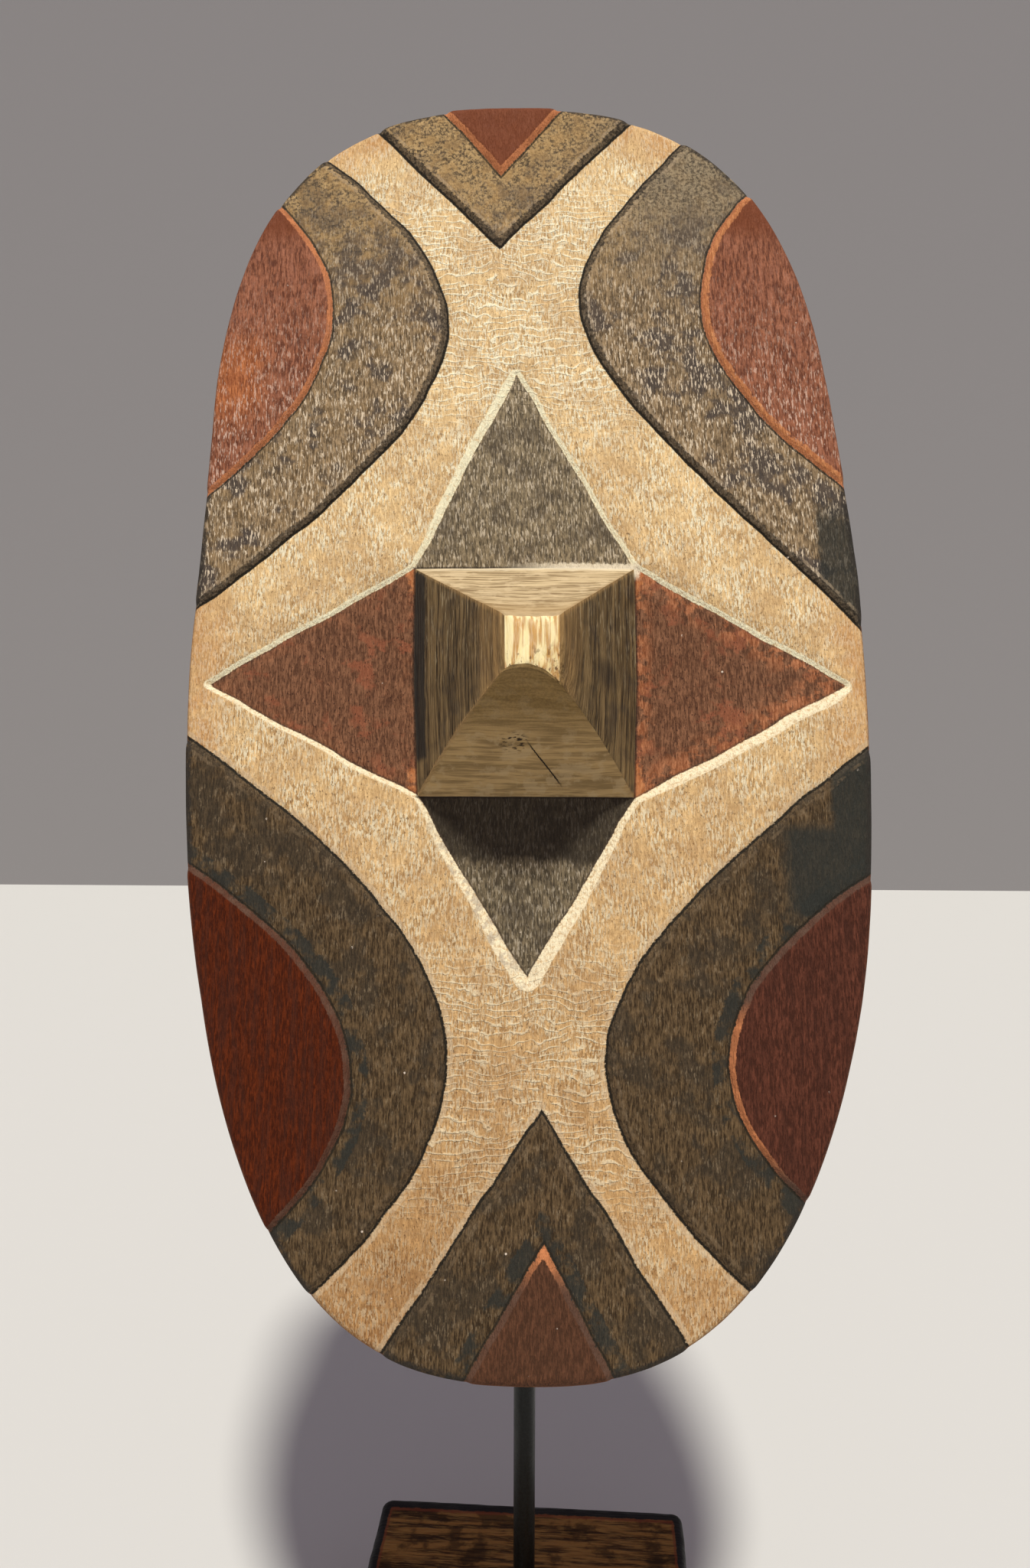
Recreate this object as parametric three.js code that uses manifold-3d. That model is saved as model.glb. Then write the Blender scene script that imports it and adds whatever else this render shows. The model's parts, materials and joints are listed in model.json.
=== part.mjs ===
// A carved and painted plank shield with a square boss, hung by its carved grip on a steel display
// stand with a wooden base block. Millimetres, +Z up, front towards -Y. The origin is the middle of
// the underside. The shield and the head that carries it lean back together.
import * as THREE from "three";
import { mergeVertices } from "three/addons/utils/BufferGeometryUtils.js";
import Module from "manifold-3d";

const wasm = await Module();
wasm.setup();

// Driving dimensions.
const LEAN = THREE.MathUtils.degToRad(14); // how far the shield leans back from upright
const PIVOT_HEIGHT = 549; // tilt hinge above the table
const PIVOT_SETBACK = 52; // tilt hinge behind the middle of the shield's front
const POST_Y = 17; // the post stands behind the middle of the base
const GAP = 0.3; // between pieces that touch

const BOARD = {
  halfWidth: 167.5,
  top: 317.5,
  bottom: 321,
  sideCurve: 2.65, // exponents of the outline: higher is squarer
  topCurve: { left: 3.3, right: 3.8 },
  bottomCurve: { left: 2.22, right: 2.42 },
  thickness: 12,
  domeAcross: 10, // how far the front falls away from the middle to the side
  domeAlong: 7, // and from the middle to the top
};
const STEP = 1.6; // each zone of the carving stands this much above the one inside it
const STAR = { top: 161, bottom: 153, side: 157 };
const BOSS = { halfWidth: 54, halfHeight: 57, height: 65, base: -6 };
const SUMMIT = { middle: 4, halfWidth: 13, top: 13.5, bottom: -17.5, topScoop: 2, bottomScoop: 7 };
const SIDE_FIELDS = [
  // black fields bounded by hyperbolas, and red ones inside them by parabolas
  { level: 2, side: -1, middle: 191, apex: 35, round: 210, slope: 1.79 },
  { level: 2, side: 1, middle: 203, apex: 32.5, round: 61, slope: 1.07 },
  { level: 2, side: -1, middle: -182.5, apex: 36.7, round: 400, slope: 2.22 },
  { level: 2, side: 1, middle: -181, apex: 36.4, round: 150, slope: 1.57 },
  { level: 3, side: -1, middle: 199, apex: 94.4, bend: 0.0069 },
  { level: 3, side: 1, middle: 204, apex: 94.7, bend: 0.0068 },
  { level: 3, side: -1, middle: -191, apex: 81, bend: 0.0079 },
  { level: 3, side: 1, middle: -180.5, apex: 93, bend: 0.0091 },
];
const END_FIELDS = [
  // middle line, apex height, half-width at the reference height, reference height
  { level: 2, middle: -8, apex: 235, half: 69, at: 310 },
  { level: 3, middle: -7, apex: 278, half: 36, at: 322 },
  { level: 2, middle: 7, apex: -202, half: 71, at: -310 },
  { level: 3, middle: 8.5, apex: -259.5, half: 37, at: -324 },
];
const HOLLOW = { mouth: 42, floor: 14, depth: 48 }; // behind the boss
const GRIP = { halfLength: 58, flat: 44, halfHeight: 11, front: -9, back: -24 };

const BLOCK = { width: 187, depth: 177, height: 45, corner: 7, chamfer: 6 };
const BLOCK_TURN = THREE.MathUtils.degToRad(-2.5); // the block stands slightly turned on its post
const UNDERLAY = 2;
const TUBE = { radius: 6, bore: 4.65, foot: 16, top: 200 };
const ROD = { radius: 4.5, foot: 130 };
const FOOT_BOLT = { radius: 3, head: 5.8, counterbore: 13, counterboreDepth: 9 };
const THUMB = { height: 186, bossRadius: 5.8, bossLength: 7, screw: 2.5, knob: 9, knobLength: 11 };
const FORK = { radius: 11, socket: 30, earThickness: 4, drop: 15 };
const TONGUE = { thickness: 6, radius: 10 };
const TILT_BOLT = 4;
const SPINE = { halfWidth: 14, front: -28.3, thickness: 5, halfLength: 95 };
const BAR = { halfLength: 65, halfHeight: 8, thickness: 4.7, at: 75 };
const PLATE = { halfWidth: 32, top: -12, bottom: -42 };
const HOOK = { rod: 2.5, bore: 3, sleeve: 3.8, side: 20, under: -15.2, inFront: -4.2, tip: 4, bend: 6 };
const SCREW = { radius: 2.2, head: 4.2, headHeight: 2.4, side: 7 };
const BUMPER = { radius: 9, side: 52 };

// Materials.
const material = (color, roughness, metalness) =>
  new THREE.MeshStandardMaterial({ color, roughness, metalness });
const PAINTED_WOOD = material(0xb4905c, 0.75, 0);
const BLOCK_WOOD = material(0x7a5238, 0.7, 0);
const BLACK_STEEL = material(0x17171a, 0.45, 0.6);
const BRIGHT_STEEL = material(0xa7a9ab, 0.35, 1);
const RUBBER = material(0x1c1b1a, 0.9, 0);

// Solids: three.js geometry in, manifold solid for cuts and joins, mesh out.
function solid(geometry) {
  const bare = geometry.clone();
  for (const name of Object.keys(bare.attributes)) {
    if (name !== "position") bare.deleteAttribute(name);
  }
  const merged = mergeVertices(bare, 1e-4);
  return new wasm.Manifold(
    new wasm.Mesh({
      numProp: 3,
      vertProperties: new Float32Array(merged.attributes.position.array),
      triVerts: new Uint32Array(merged.index.array),
    }),
  );
}

function mesh(name, shape, surface) {
  const result = new THREE.Mesh(shape.isBufferGeometry ? shape : geometryOf(shape), surface);
  result.name = name;
  return result;
}

function geometryOf(body) {
  const data = body.getMesh();
  const geometry = new THREE.BufferGeometry();
  geometry.setAttribute("position", new THREE.BufferAttribute(data.vertProperties, 3));
  geometry.setIndex(new THREE.BufferAttribute(data.triVerts, 1));
  geometry.computeVertexNormals();
  return geometry;
}

const union = (bodies) => bodies.reduce((all, body) => all.add(body));

// A cylinder along an axis, from one place on it to another.
function rod(axis, radius, from, to, sides = 32) {
  const geometry = new THREE.CylinderGeometry(radius, radius, to - from, sides);
  if (axis === "x") geometry.rotateZ(-Math.PI / 2);
  if (axis === "z") geometry.rotateX(Math.PI / 2);
  const middle = (from + to) / 2;
  geometry.translate(axis === "x" ? middle : 0, axis === "y" ? middle : 0, axis === "z" ? middle : 0);
  return geometry;
}

function box(x0, x1, y0, y1, z0, z1) {
  const geometry = new THREE.BoxGeometry(x1 - x0, y1 - y0, z1 - z0);
  return geometry.translate((x0 + x1) / 2, (y0 + y1) / 2, (z0 + z1) / 2);
}

// A flat outline of [x, y] points, extruded along z between two heights.
function prism(points, z0, z1) {
  const shape = new THREE.Shape(points.map(([x, y]) => new THREE.Vector2(x, y)));
  const geometry = new THREE.ExtrudeGeometry(shape, { depth: z1 - z0, bevelEnabled: false });
  return geometry.translate(0, 0, z0);
}

// A closed body through rings of points at rising z, each ring turning anticlockwise.
function loft(rings) {
  const count = rings[0].length;
  const positions = rings.flat(2);
  const middle = (ring) => [0, 1, 2].map((i) => ring.reduce((sum, p) => sum + p[i], 0) / count);
  positions.push(...middle(rings[0]), ...middle(rings[rings.length - 1]));
  const lowMiddle = rings.length * count;
  const last = (rings.length - 1) * count;
  const index = [];
  for (let i = 0; i < count; i++) {
    const next = (i + 1) % count;
    for (let r = 0; r < last; r += count) {
      index.push(r + i, r + next, r + count + next, r + i, r + count + next, r + count + i);
    }
    index.push(lowMiddle, next, i, lowMiddle + 1, last + i, last + next);
  }
  const geometry = new THREE.BufferGeometry();
  geometry.setAttribute("position", new THREE.Float32BufferAttribute(positions, 3));
  return geometry.setIndex(index);
}

const span = (from, to, steps) =>
  Array.from({ length: steps + 1 }, (_, i) => from + ((to - from) * i) / steps);

// The shield, in its own plane: x across, y up the board, z out of the front.
const fall = (x, y) =>
  BOARD.domeAcross * (x / BOARD.halfWidth) ** 2 + BOARD.domeAlong * (y / BOARD.bottom) ** 2;
const backOf = (x, y) => -BOARD.thickness - 0.75 * fall(x, y);

function boardOutline(sides = 96) {
  return span(0, 2 * Math.PI, sides)
    .slice(0, sides)
    .map((turn) => {
      const c = Math.cos(turn);
      const s = Math.sin(turn);
      const [end, curves] = s >= 0 ? [BOARD.top, BOARD.topCurve] : [BOARD.bottom, BOARD.bottomCurve];
      const curve = c >= 0 ? curves.right : curves.left;
      return [
        Math.sign(c) * BOARD.halfWidth * Math.abs(c) ** (2 / BOARD.sideCurve),
        Math.sign(s) * end * Math.abs(s) ** (2 / curve),
      ];
    });
}

// A domed slab larger than the board. level counts the carved steps its front stands proud.
function domedSlab(level, backAt) {
  const slab = new THREE.BoxGeometry(360, 660, 2, 10, 18, 1);
  const place = slab.getAttribute("position");
  for (let i = 0; i < place.count; i++) {
    const [x, y] = [place.getX(i), place.getY(i)];
    place.setZ(i, place.getZ(i) > 0 ? level * STEP - fall(x, y) : backAt(x, y));
  }
  return solid(slab);
}

// Zone outlines. Each runs past the rim, which trims it.
function starPoints() {
  const { halfWidth, halfHeight } = BOSS;
  return [
    [0, STAR.top], [-halfWidth, halfHeight], [-STAR.side, 0], [-halfWidth, -halfHeight],
    [0, -STAR.bottom], [halfWidth, -halfHeight], [STAR.side, 0], [halfWidth, halfHeight],
  ];
}

function sideField({ side, middle, apex, round, slope, bend }) {
  const edge = (y) => bend ? apex + bend * y * y : apex - round + Math.hypot(round, slope * y);
  const curve = span(-170, 170, 20).map((y) => [side * edge(y), middle + y]);
  return side > 0 ? [...curve, [400, middle + 170], [400, middle - 170]]
    : [...curve.reverse(), [-400, middle - 170], [-400, middle + 170]];
}

function endField({ middle, apex, half, at }) {
  const reach = 1.4;
  const end = apex + (at - apex) * reach;
  const points = [[middle, apex], [middle + half * reach, end], [middle - half * reach, end]];
  return at > 0 ? points : points.reverse();
}

function zoneSolids(level) {
  const here = (field) => field.level === level;
  const outlines = [...SIDE_FIELDS.filter(here).map(sideField), ...END_FIELDS.filter(here).map(endField)];
  return union(outlines.map((points) => solid(prism(points, -60, 30))));
}

// A side of a rectangle from one corner to the other, scooped inwards by a parabola.
function scoopedSide(from, to, y, scoop, steps = 8) {
  return span(0, 1, steps).slice(0, steps)
    .map((t) => [from + (to - from) * t, y + scoop * 4 * t * (1 - t)]);
}

// The boss: flat sides along the grain, and end-grain faces hollowed more towards the summit.
function boss() {
  const rings = span(0, 1, 6).map((t) => {
    const mix = (low, high) => low + (high - low) * t;
    const left = mix(-BOSS.halfWidth, SUMMIT.middle - SUMMIT.halfWidth);
    const right = mix(BOSS.halfWidth, SUMMIT.middle + SUMMIT.halfWidth);
    const z = mix(BOSS.base, BOSS.height);
    const lower = scoopedSide(left, right, mix(-BOSS.halfHeight, SUMMIT.bottom), t * SUMMIT.bottomScoop);
    const upper = scoopedSide(right, left, mix(BOSS.halfHeight, SUMMIT.top), -t * SUMMIT.topScoop);
    return [...lower, ...upper].map(([x, y]) => [x, y, z]);
  });
  return solid(loft(rings));
}

function hollow() {
  const square = (half, z) => [[-half, -half, z], [half, -half, z], [half, half, z], [-half, half, z]];
  const low = -BOARD.thickness - 8;
  const high = HOLLOW.depth - BOARD.thickness;
  return solid(loft([square(HOLLOW.mouth + 4, low), square(HOLLOW.floor, high)]));
}

function grip() {
  const outline = [
    [-GRIP.halfLength, GRIP.front], [-GRIP.halfLength, -BOARD.thickness - 1], [-GRIP.flat, GRIP.back],
    [GRIP.flat, GRIP.back], [GRIP.halfLength, -BOARD.thickness - 1], [GRIP.halfLength, GRIP.front],
  ];
  const bar = prism(outline, -GRIP.halfHeight, GRIP.halfHeight).rotateX(Math.PI / 2);
  return solid(bar);
}

function shieldBoard() {
  const rim = solid(prism(boardOutline(), -60, 60));
  const skin = (x, y) => -6 - fall(x, y); // underside of a raised layer, inside the board
  const board = domedSlab(0, backOf).intersect(rim);
  const star = solid(prism(starPoints(), -60, 30));
  const whole = domedSlab(1, skin).intersect(rim).subtract(star);
  const raised = [2, 3].map((level) =>
    domedSlab(level, skin).intersect(rim).intersect(zoneSolids(level)));
  const body = union([board, whole, ...raised, boss()]).subtract(hollow()).add(grip());
  return mesh("shield_board", body, PAINTED_WOOD);
}

// The head behind the shield, in the shield's plane.
function spineBar() {
  const back = SPINE.front - SPINE.thickness;
  const { halfWidth, halfLength, front } = SPINE;
  const bar = box(-halfWidth, halfWidth, -halfLength, halfLength, back, front);
  const half = TONGUE.thickness / 2;
  const web = box(-half, half, -TONGUE.radius, TONGUE.radius, -PIVOT_SETBACK, back + 1);
  const eye = rod("x", TONGUE.radius, -half, half).translate(0, 0, -PIVOT_SETBACK);
  const hole = rod("x", TILT_BOLT + 0.1, -half - 1, half + 1).translate(0, 0, -PIVOT_SETBACK);
  const screwHoles = screwPlaces().map(([x, y]) =>
    solid(rod("z", SCREW.radius + GAP, back - 1, SPINE.front + 1, 16).translate(x, y, 0)));
  const body = union([bar, web, eye].map(solid)).subtract(solid(hole)).subtract(union(screwHoles));
  return mesh("spine_bar", body, BLACK_STEEL);
}

const screwPlaces = () =>
  [BAR.at, (PLATE.top + PLATE.bottom) / 2 - 4, -BAR.at].flatMap((y) =>
    [-SCREW.side, SCREW.side].map((x) => [x, y]));

// A flat piece that lies on the front of the spine, with holes for its two screws.
function barOnSpine(halfLength, y0, y1) {
  const back = SPINE.front + GAP;
  const front = back + BAR.thickness;
  const flat = solid(box(-halfLength, halfLength, y0, y1, back, front));
  const holes = screwPlaces().filter(([, y]) => y > y0 && y < y1)
    .map(([x, y]) => solid(rod("z", SCREW.radius + GAP, back - 1, front + 1, 16).translate(x, y, 0)));
  return flat.subtract(union(holes));
}

function crossBar(name, y) {
  return mesh(name, barOnSpine(BAR.halfLength, y - BAR.halfHeight, y + BAR.halfHeight), BLACK_STEEL);
}

function hookPath(side) {
  const start = SPINE.front + GAP + BAR.thickness - 2;
  const corner = new THREE.Vector3(side, HOOK.under, HOOK.inFront);
  const path = new THREE.CurvePath();
  const before = corner.clone().add(new THREE.Vector3(0, 0, -HOOK.bend));
  const after = corner.clone().add(new THREE.Vector3(0, HOOK.bend, 0));
  path.add(new THREE.LineCurve3(new THREE.Vector3(side, HOOK.under, start), before));
  path.add(new THREE.QuadraticBezierCurve3(before, corner, after));
  path.add(new THREE.LineCurve3(after, new THREE.Vector3(side, HOOK.tip, HOOK.inFront)));
  return path;
}

// The part of the hook's path that lies in front of the plate.
function sleevePath(side) {
  const front = SPINE.front + 2 * GAP + BAR.thickness;
  const path = hookPath(side);
  path.curves[0].v1.z = front;
  return path;
}

function alongPath(path, radius, bore = 0) {
  const shape = new THREE.Shape().absarc(0, 0, radius, 0, 2 * Math.PI, false);
  if (bore) shape.holes.push(new THREE.Path().absarc(0, 0, bore, 0, 2 * Math.PI, true));
  return new THREE.ExtrudeGeometry(shape, { steps: 13, curveSegments: 5, extrudePath: path });
}

function hookPlate() {
  const plate = barOnSpine(PLATE.halfWidth, PLATE.bottom, PLATE.top);
  const hooks = [-HOOK.side, HOOK.side].map((side) => solid(alongPath(hookPath(side), HOOK.rod)));
  return mesh("hook_plate", plate.add(union(hooks)), BLACK_STEEL);
}

function headScrews() {
  const back = SPINE.front - SPINE.thickness;
  return screwPlaces().map(([x, y], i) => {
    const shank = rod("z", SCREW.radius, back - GAP - 1, SPINE.front + BAR.thickness - 0.5, 16);
    const head = rod("z", SCREW.head, back - GAP - SCREW.headHeight, back - GAP, 24);
    const slot = box(-5, 5, -0.5, 0.5, back - GAP - SCREW.headHeight - 1, back - GAP - 1.4);
    const screw = solid(shank).add(solid(head)).subtract(solid(slot)).translate([x, y, 0]);
    return mesh(`head_screw_${i + 1}`, screw, BRIGHT_STEEL);
  });
}

function bumpers() {
  const back = SPINE.front + 2 * GAP + BAR.thickness;
  const names = ["lower_left", "lower_right", "upper_left", "upper_right"];
  const places = [-BAR.at, BAR.at].flatMap((y) => [-BUMPER.side, BUMPER.side].map((x) => [x, y]));
  return places.map(([x, y], i) => {
    const front = backOf(Math.abs(x) + BUMPER.radius, Math.abs(y) + BUMPER.radius) - GAP;
    const { radius } = BUMPER;
    const profile = [
      [0, back], [radius, back], [radius, front - 1.5], [radius - 1.5, front], [0, front],
    ].map(([r, z]) => new THREE.Vector2(r, z));
    const turned = new THREE.LatheGeometry(profile, 28).rotateX(Math.PI / 2).translate(x, y, 0);
    return mesh(`bumper_${names[i]}`, turned, RUBBER);
  });
}

// The stand, in the part's own frame. Pieces on the post are made round x = y = 0 and moved there.
function roundedRing(inset, z, steps = 5) {
  const { width, depth, corner } = BLOCK;
  const r = corner - inset / 2;
  const [hx, hy] = [width / 2 - inset - r, depth / 2 - inset - r];
  const corners = [[hx, hy, 0], [-hx, hy, 1], [-hx, -hy, 2], [hx, -hy, 3]];
  return corners.flatMap(([x, y, quarter]) =>
    span(quarter, quarter + 1, steps).map((q) => [
      x + r * Math.cos((q * Math.PI) / 2),
      y + r * Math.sin((q * Math.PI) / 2),
      z,
    ]));
}

function baseBlock() {
  const [foot, top] = [UNDERLAY, UNDERLAY + BLOCK.height];
  const rings = [
    roundedRing(0, foot),
    roundedRing(0, top - BLOCK.chamfer),
    roundedRing(BLOCK.chamfer, top),
  ];
  const cuts = [
    rod("z", TUBE.radius + GAP, TUBE.foot - GAP, top + 1, 48),
    rod("z", FOOT_BOLT.radius + GAP, foot, top, 24),
    rod("z", FOOT_BOLT.counterbore, foot - 1, foot + FOOT_BOLT.counterboreDepth, 32),
  ];
  const holes = union(cuts.map((cut) => solid(cut.translate(0, POST_Y, 0))));
  return mesh("base_block", solid(loft(rings).rotateZ(BLOCK_TURN)).subtract(holes), BLOCK_WOOD);
}

function underlay() {
  const rings = [roundedRing(4, 0), roundedRing(4, UNDERLAY - GAP / 3)];
  return mesh("underlay", loft(rings).rotateZ(BLOCK_TURN), RUBBER);
}

function footFixing() {
  const seat = UNDERLAY + FOOT_BOLT.counterboreDepth;
  const washer = solid(rod("z", 11, seat - GAP - 1.6, seat - GAP))
    .subtract(solid(rod("z", FOOT_BOLT.radius + GAP, 0, seat + 1, 24)));
  const under = seat - 2 * GAP - 1.6;
  const head = rod("z", FOOT_BOLT.head, under - 4, under, 6);
  const bolt = solid(head).add(solid(rod("z", FOOT_BOLT.radius, under - 1, 32, 24)));
  const plug = solid(rod("z", TUBE.bore - GAP, TUBE.foot, 34, 48))
    .subtract(solid(rod("z", FOOT_BOLT.radius + GAP, 0, 40, 24)));
  return [
    mesh("foot_washer", washer, BRIGHT_STEEL),
    mesh("foot_bolt", bolt, BRIGHT_STEEL),
    mesh("tube_plug", plug, BRIGHT_STEEL),
  ];
}

function postTube() {
  const tube = solid(rod("z", TUBE.radius, TUBE.foot, TUBE.top, 48))
    .subtract(solid(rod("z", TUBE.bore, TUBE.foot - 1, TUBE.top + 1, 48)))
    .subtract(solid(rod("y", THUMB.screw + GAP, 0, 20, 24).translate(0, 0, THUMB.height)));
  return mesh("post_tube", tube, BLACK_STEEL);
}

function weldBoss() {
  const outside = TUBE.radius + THUMB.bossLength;
  const boss = solid(rod("y", THUMB.bossRadius, 2, outside))
    .subtract(solid(rod("y", THUMB.screw + GAP, 0, outside + 1, 24)));
  const shaped = boss.subtract(solid(rod("z", TUBE.radius + GAP, -20, 20, 48)));
  return mesh("weld_boss", shaped.translate([0, 0, THUMB.height]), BLACK_STEEL);
}

function thumbScrew() {
  const start = TUBE.radius + THUMB.bossLength + 1;
  const grip = span(0, 2 * Math.PI, 72).slice(0, 72).map((turn) => {
    const r = THUMB.knob - 0.8 * (0.5 + 0.5 * Math.cos(12 * turn));
    return [r * Math.cos(turn), r * Math.sin(turn)];
  });
  const knob = prism(grip, start, start + THUMB.knobLength).rotateX(-Math.PI / 2);
  const shank = rod("y", THUMB.screw, ROD.radius + GAP, start + 2, 24);
  return mesh("thumb_screw", solid(knob).add(solid(shank)).translate([0, 0, THUMB.height]), BLACK_STEEL);
}

const socketTop = PIVOT_HEIGHT - FORK.drop;
const rodTop = socketTop - 5;

function swivelFork() {
  const inner = TONGUE.thickness / 2 + GAP;
  const outer = inner + FORK.earThickness;
  const ear = (x0, x1) => union([
    solid(box(x0, x1, -FORK.radius, FORK.radius, socketTop - 2, PIVOT_HEIGHT)),
    solid(rod("x", FORK.radius, x0, x1).translate(0, 0, PIVOT_HEIGHT)),
  ]);
  const socket = solid(rod("z", FORK.radius, socketTop - FORK.socket, socketTop, 48));
  const cuts = [
    rod("z", ROD.radius + 0.1, socketTop - FORK.socket - 1, rodTop + GAP, 48),
    rod("x", TILT_BOLT + 0.1, -20, 20).translate(0, 0, PIVOT_HEIGHT),
    rod("y", 2.5 + GAP, 0, 20, 24).translate(0, 0, socketTop - FORK.socket / 2),
  ];
  const body = union([socket, ear(-outer, -inner), ear(inner, outer)])
    .subtract(union(cuts.map(solid)));
  return mesh("swivel_fork", body, BLACK_STEEL);
}

function grubScrew() {
  const screw = solid(rod("y", 2.5, ROD.radius + GAP, FORK.radius + 2.5, 24))
    .subtract(solid(rod("y", 1.3, FORK.radius, FORK.radius + 4, 6)));
  return mesh("grub_screw", screw.translate([0, 0, socketTop - FORK.socket / 2]), BRIGHT_STEEL);
}

function tiltFixing() {
  const ear = TONGUE.thickness / 2 + GAP + FORK.earThickness;
  const washer = (x0, x1) => solid(rod("x", 8, x0, x1))
    .subtract(solid(rod("x", TILT_BOLT + GAP, x0 - 1, x1 + 1, 24)));
  const thick = 1.4;
  const seat = ear + 2 * GAP + thick;
  const bolt = solid(rod("x", 7.2, -seat - 5, -seat, 6))
    .add(solid(rod("x", TILT_BOLT, -seat - 1, seat + 12)));
  const wing = [[5, 0], [8, 4], [11, 10], [13.5, 12], [15, 10], [14.5, 5], [11, -1], [5, -3]];
  const mirrored = wing.map(([y, z]) => [-y, z]).reverse();
  const wings = [wing, mirrored].map((outline) =>
    solid(prism(outline, -1.6, 1.6).rotateY(Math.PI / 2).rotateX(Math.PI / 2)
      .translate(seat + 4, 0, 0)));
  const hub = solid(rod("x", 7, seat, seat + 8)).subtract(solid(rod("x", TILT_BOLT + GAP, 0, 40, 24)));
  const pieces = [
    mesh("tilt_washer_left", washer(-ear - GAP - thick, -ear - GAP), BRIGHT_STEEL),
    mesh("tilt_washer_right", washer(ear + GAP, ear + GAP + thick), BRIGHT_STEEL),
    mesh("tilt_bolt", bolt, BRIGHT_STEEL),
    mesh("wing_nut", hub.add(union(wings)), BRIGHT_STEEL),
  ];
  pieces.forEach((piece) => piece.position.setZ(PIVOT_HEIGHT));
  return pieces;
}

// Assembly.
const tilted = new THREE.Group();
tilted.rotation.x = Math.PI / 2 - LEAN;
tilted.position.set(
  0,
  POST_Y - PIVOT_SETBACK * Math.cos(LEAN),
  PIVOT_HEIGHT + PIVOT_SETBACK * Math.sin(LEAN),
);
tilted.add(
  shieldBoard(),
  spineBar(),
  crossBar("cross_bar_upper", BAR.at),
  crossBar("cross_bar_lower", -BAR.at),
  hookPlate(),
  mesh("hook_sleeve_left", alongPath(sleevePath(-HOOK.side), HOOK.sleeve, HOOK.bore), RUBBER),
  mesh("hook_sleeve_right", alongPath(sleevePath(HOOK.side), HOOK.sleeve, HOOK.bore), RUBBER),
  ...headScrews(),
  ...bumpers(),
);

const onPost = new THREE.Group();
onPost.position.y = POST_Y;
onPost.add(
  ...footFixing(),
  postTube(),
  weldBoss(),
  thumbScrew(),
  mesh("mast_rod", rod("z", ROD.radius, ROD.foot, rodTop, 48), BLACK_STEEL),
  swivelFork(),
  grubScrew(),
  ...tiltFixing(),
);

const part = new THREE.Group();
part.add(underlay(), baseBlock(), onPost, tilted);
export default part;
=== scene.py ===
"""A carved and painted plank shield on a steel display stand with a wooden base block.

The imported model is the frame. The board is made again here as one finely carved mesh, and the block as
a worn one. The metal and the rubber keep their shapes, with eased edges. The frame is in metres. The
carving is laid out in millimetres in the board's own plane: x across, y up the board and z out of its
front, with the boss in the middle.
"""
import json
import math

import bpy
import numpy as np
from mathutils import Matrix, Vector


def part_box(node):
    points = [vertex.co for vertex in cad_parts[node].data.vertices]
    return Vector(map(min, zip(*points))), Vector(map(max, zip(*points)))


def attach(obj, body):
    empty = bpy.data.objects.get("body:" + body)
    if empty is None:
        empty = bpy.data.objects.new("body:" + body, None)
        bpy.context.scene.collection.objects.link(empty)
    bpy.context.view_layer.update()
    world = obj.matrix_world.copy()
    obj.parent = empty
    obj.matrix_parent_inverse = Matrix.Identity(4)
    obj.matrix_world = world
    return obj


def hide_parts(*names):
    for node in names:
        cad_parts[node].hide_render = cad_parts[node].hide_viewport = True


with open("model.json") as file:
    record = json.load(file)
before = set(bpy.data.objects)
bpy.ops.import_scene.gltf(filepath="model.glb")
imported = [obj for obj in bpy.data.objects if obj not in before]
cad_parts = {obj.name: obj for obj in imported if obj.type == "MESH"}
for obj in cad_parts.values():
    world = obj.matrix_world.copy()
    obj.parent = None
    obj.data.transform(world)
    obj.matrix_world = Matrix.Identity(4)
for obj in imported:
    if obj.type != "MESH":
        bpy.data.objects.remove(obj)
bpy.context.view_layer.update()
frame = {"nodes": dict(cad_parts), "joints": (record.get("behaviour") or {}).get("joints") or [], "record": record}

MM = 0.001

# The board's design, close to the CAD model's, in millimetres.
PIVOT_SETBACK = 52  # tilt hinge behind the middle of the board's front
HALF_WIDTH = 167.5
TOP, BOTTOM = 315.3, 321
SIDE_CURVE = 2.65  # exponents of the outline: higher is squarer
TOP_CURVE = (4, 3.7)  # left and right
BOTTOM_CURVE = (2.22, 2.42)
TOP_NARROWING = (0.048, 0.025)  # of the half-width, reached at NARROWED_AT
NARROWED_AT = 140
THICKNESS = 12
RIM_ROUND, BACK_ROUND = 4.0, 3.0
BUMPER_GAP = 0.3  # the worn back stands this far off the stand's bumpers
DOME_ACROSS, DOME_ALONG = 10, 7
STEP = 1.7  # from each kind of field down to the next
GROOVE_DEPTH, GROOVE_HALF = 0.4, 0.9  # of the knife line along each cut
UPPER_STAR_EASE = 7.5  # how much wider the star's slope runs out above the middle
STAR = [(0, 161), (-54, 57), (-157, 0), (-54, -57), (0, -142), (54, -57), (157, 0), (54, 57)]
BOSS_HALF = (54, 57)
BOSS_HEIGHT = 65
SCOOP = 0.22  # how hollow the boss's lower face is
SUMMIT = {"left": -9.2, "right": 17, "bottom": -15, "top": 13.2}
ARCH = {"rise": 4.2, "tilt": -2.7, "droop": 3.6}  # the summit's lower edge, and how its corners sink
# Black side fields are bounded by hyperbolas: side, middle, apex, roundness and slope.
BLACK_SIDES = [
    (-1, 187.5, 35, 210, 1.79),
    (1, 201, 32.5, 61, 1.07),
    (-1, -182.5, 36.7, 400, 2.22),
    (1, -181, 36.4, 150, 1.57),
]
# Red ones inside them are bounded by parabolas: side, middle, apex and bend.
RED_SIDES = [
    (-1, 195, 94.4, 0.0069),
    (1, 202, 94.7, 0.0068),
    (-1, -191, 81, 0.0079),
    (1, -180.5, 93, 0.0091),
]
BLACK_ENDS = [(-8, 231.5, 69, 307), (7, -202, 71, -310)]  # middle line, apex, half-width at a height
RED_ENDS = [(-7, 274, 36, 318.5), (8.5, -259.5, 37, -324)]
BLACK_BEVEL, RED_BEVEL = 4.0, 3.4  # widths of the cut slopes
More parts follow.
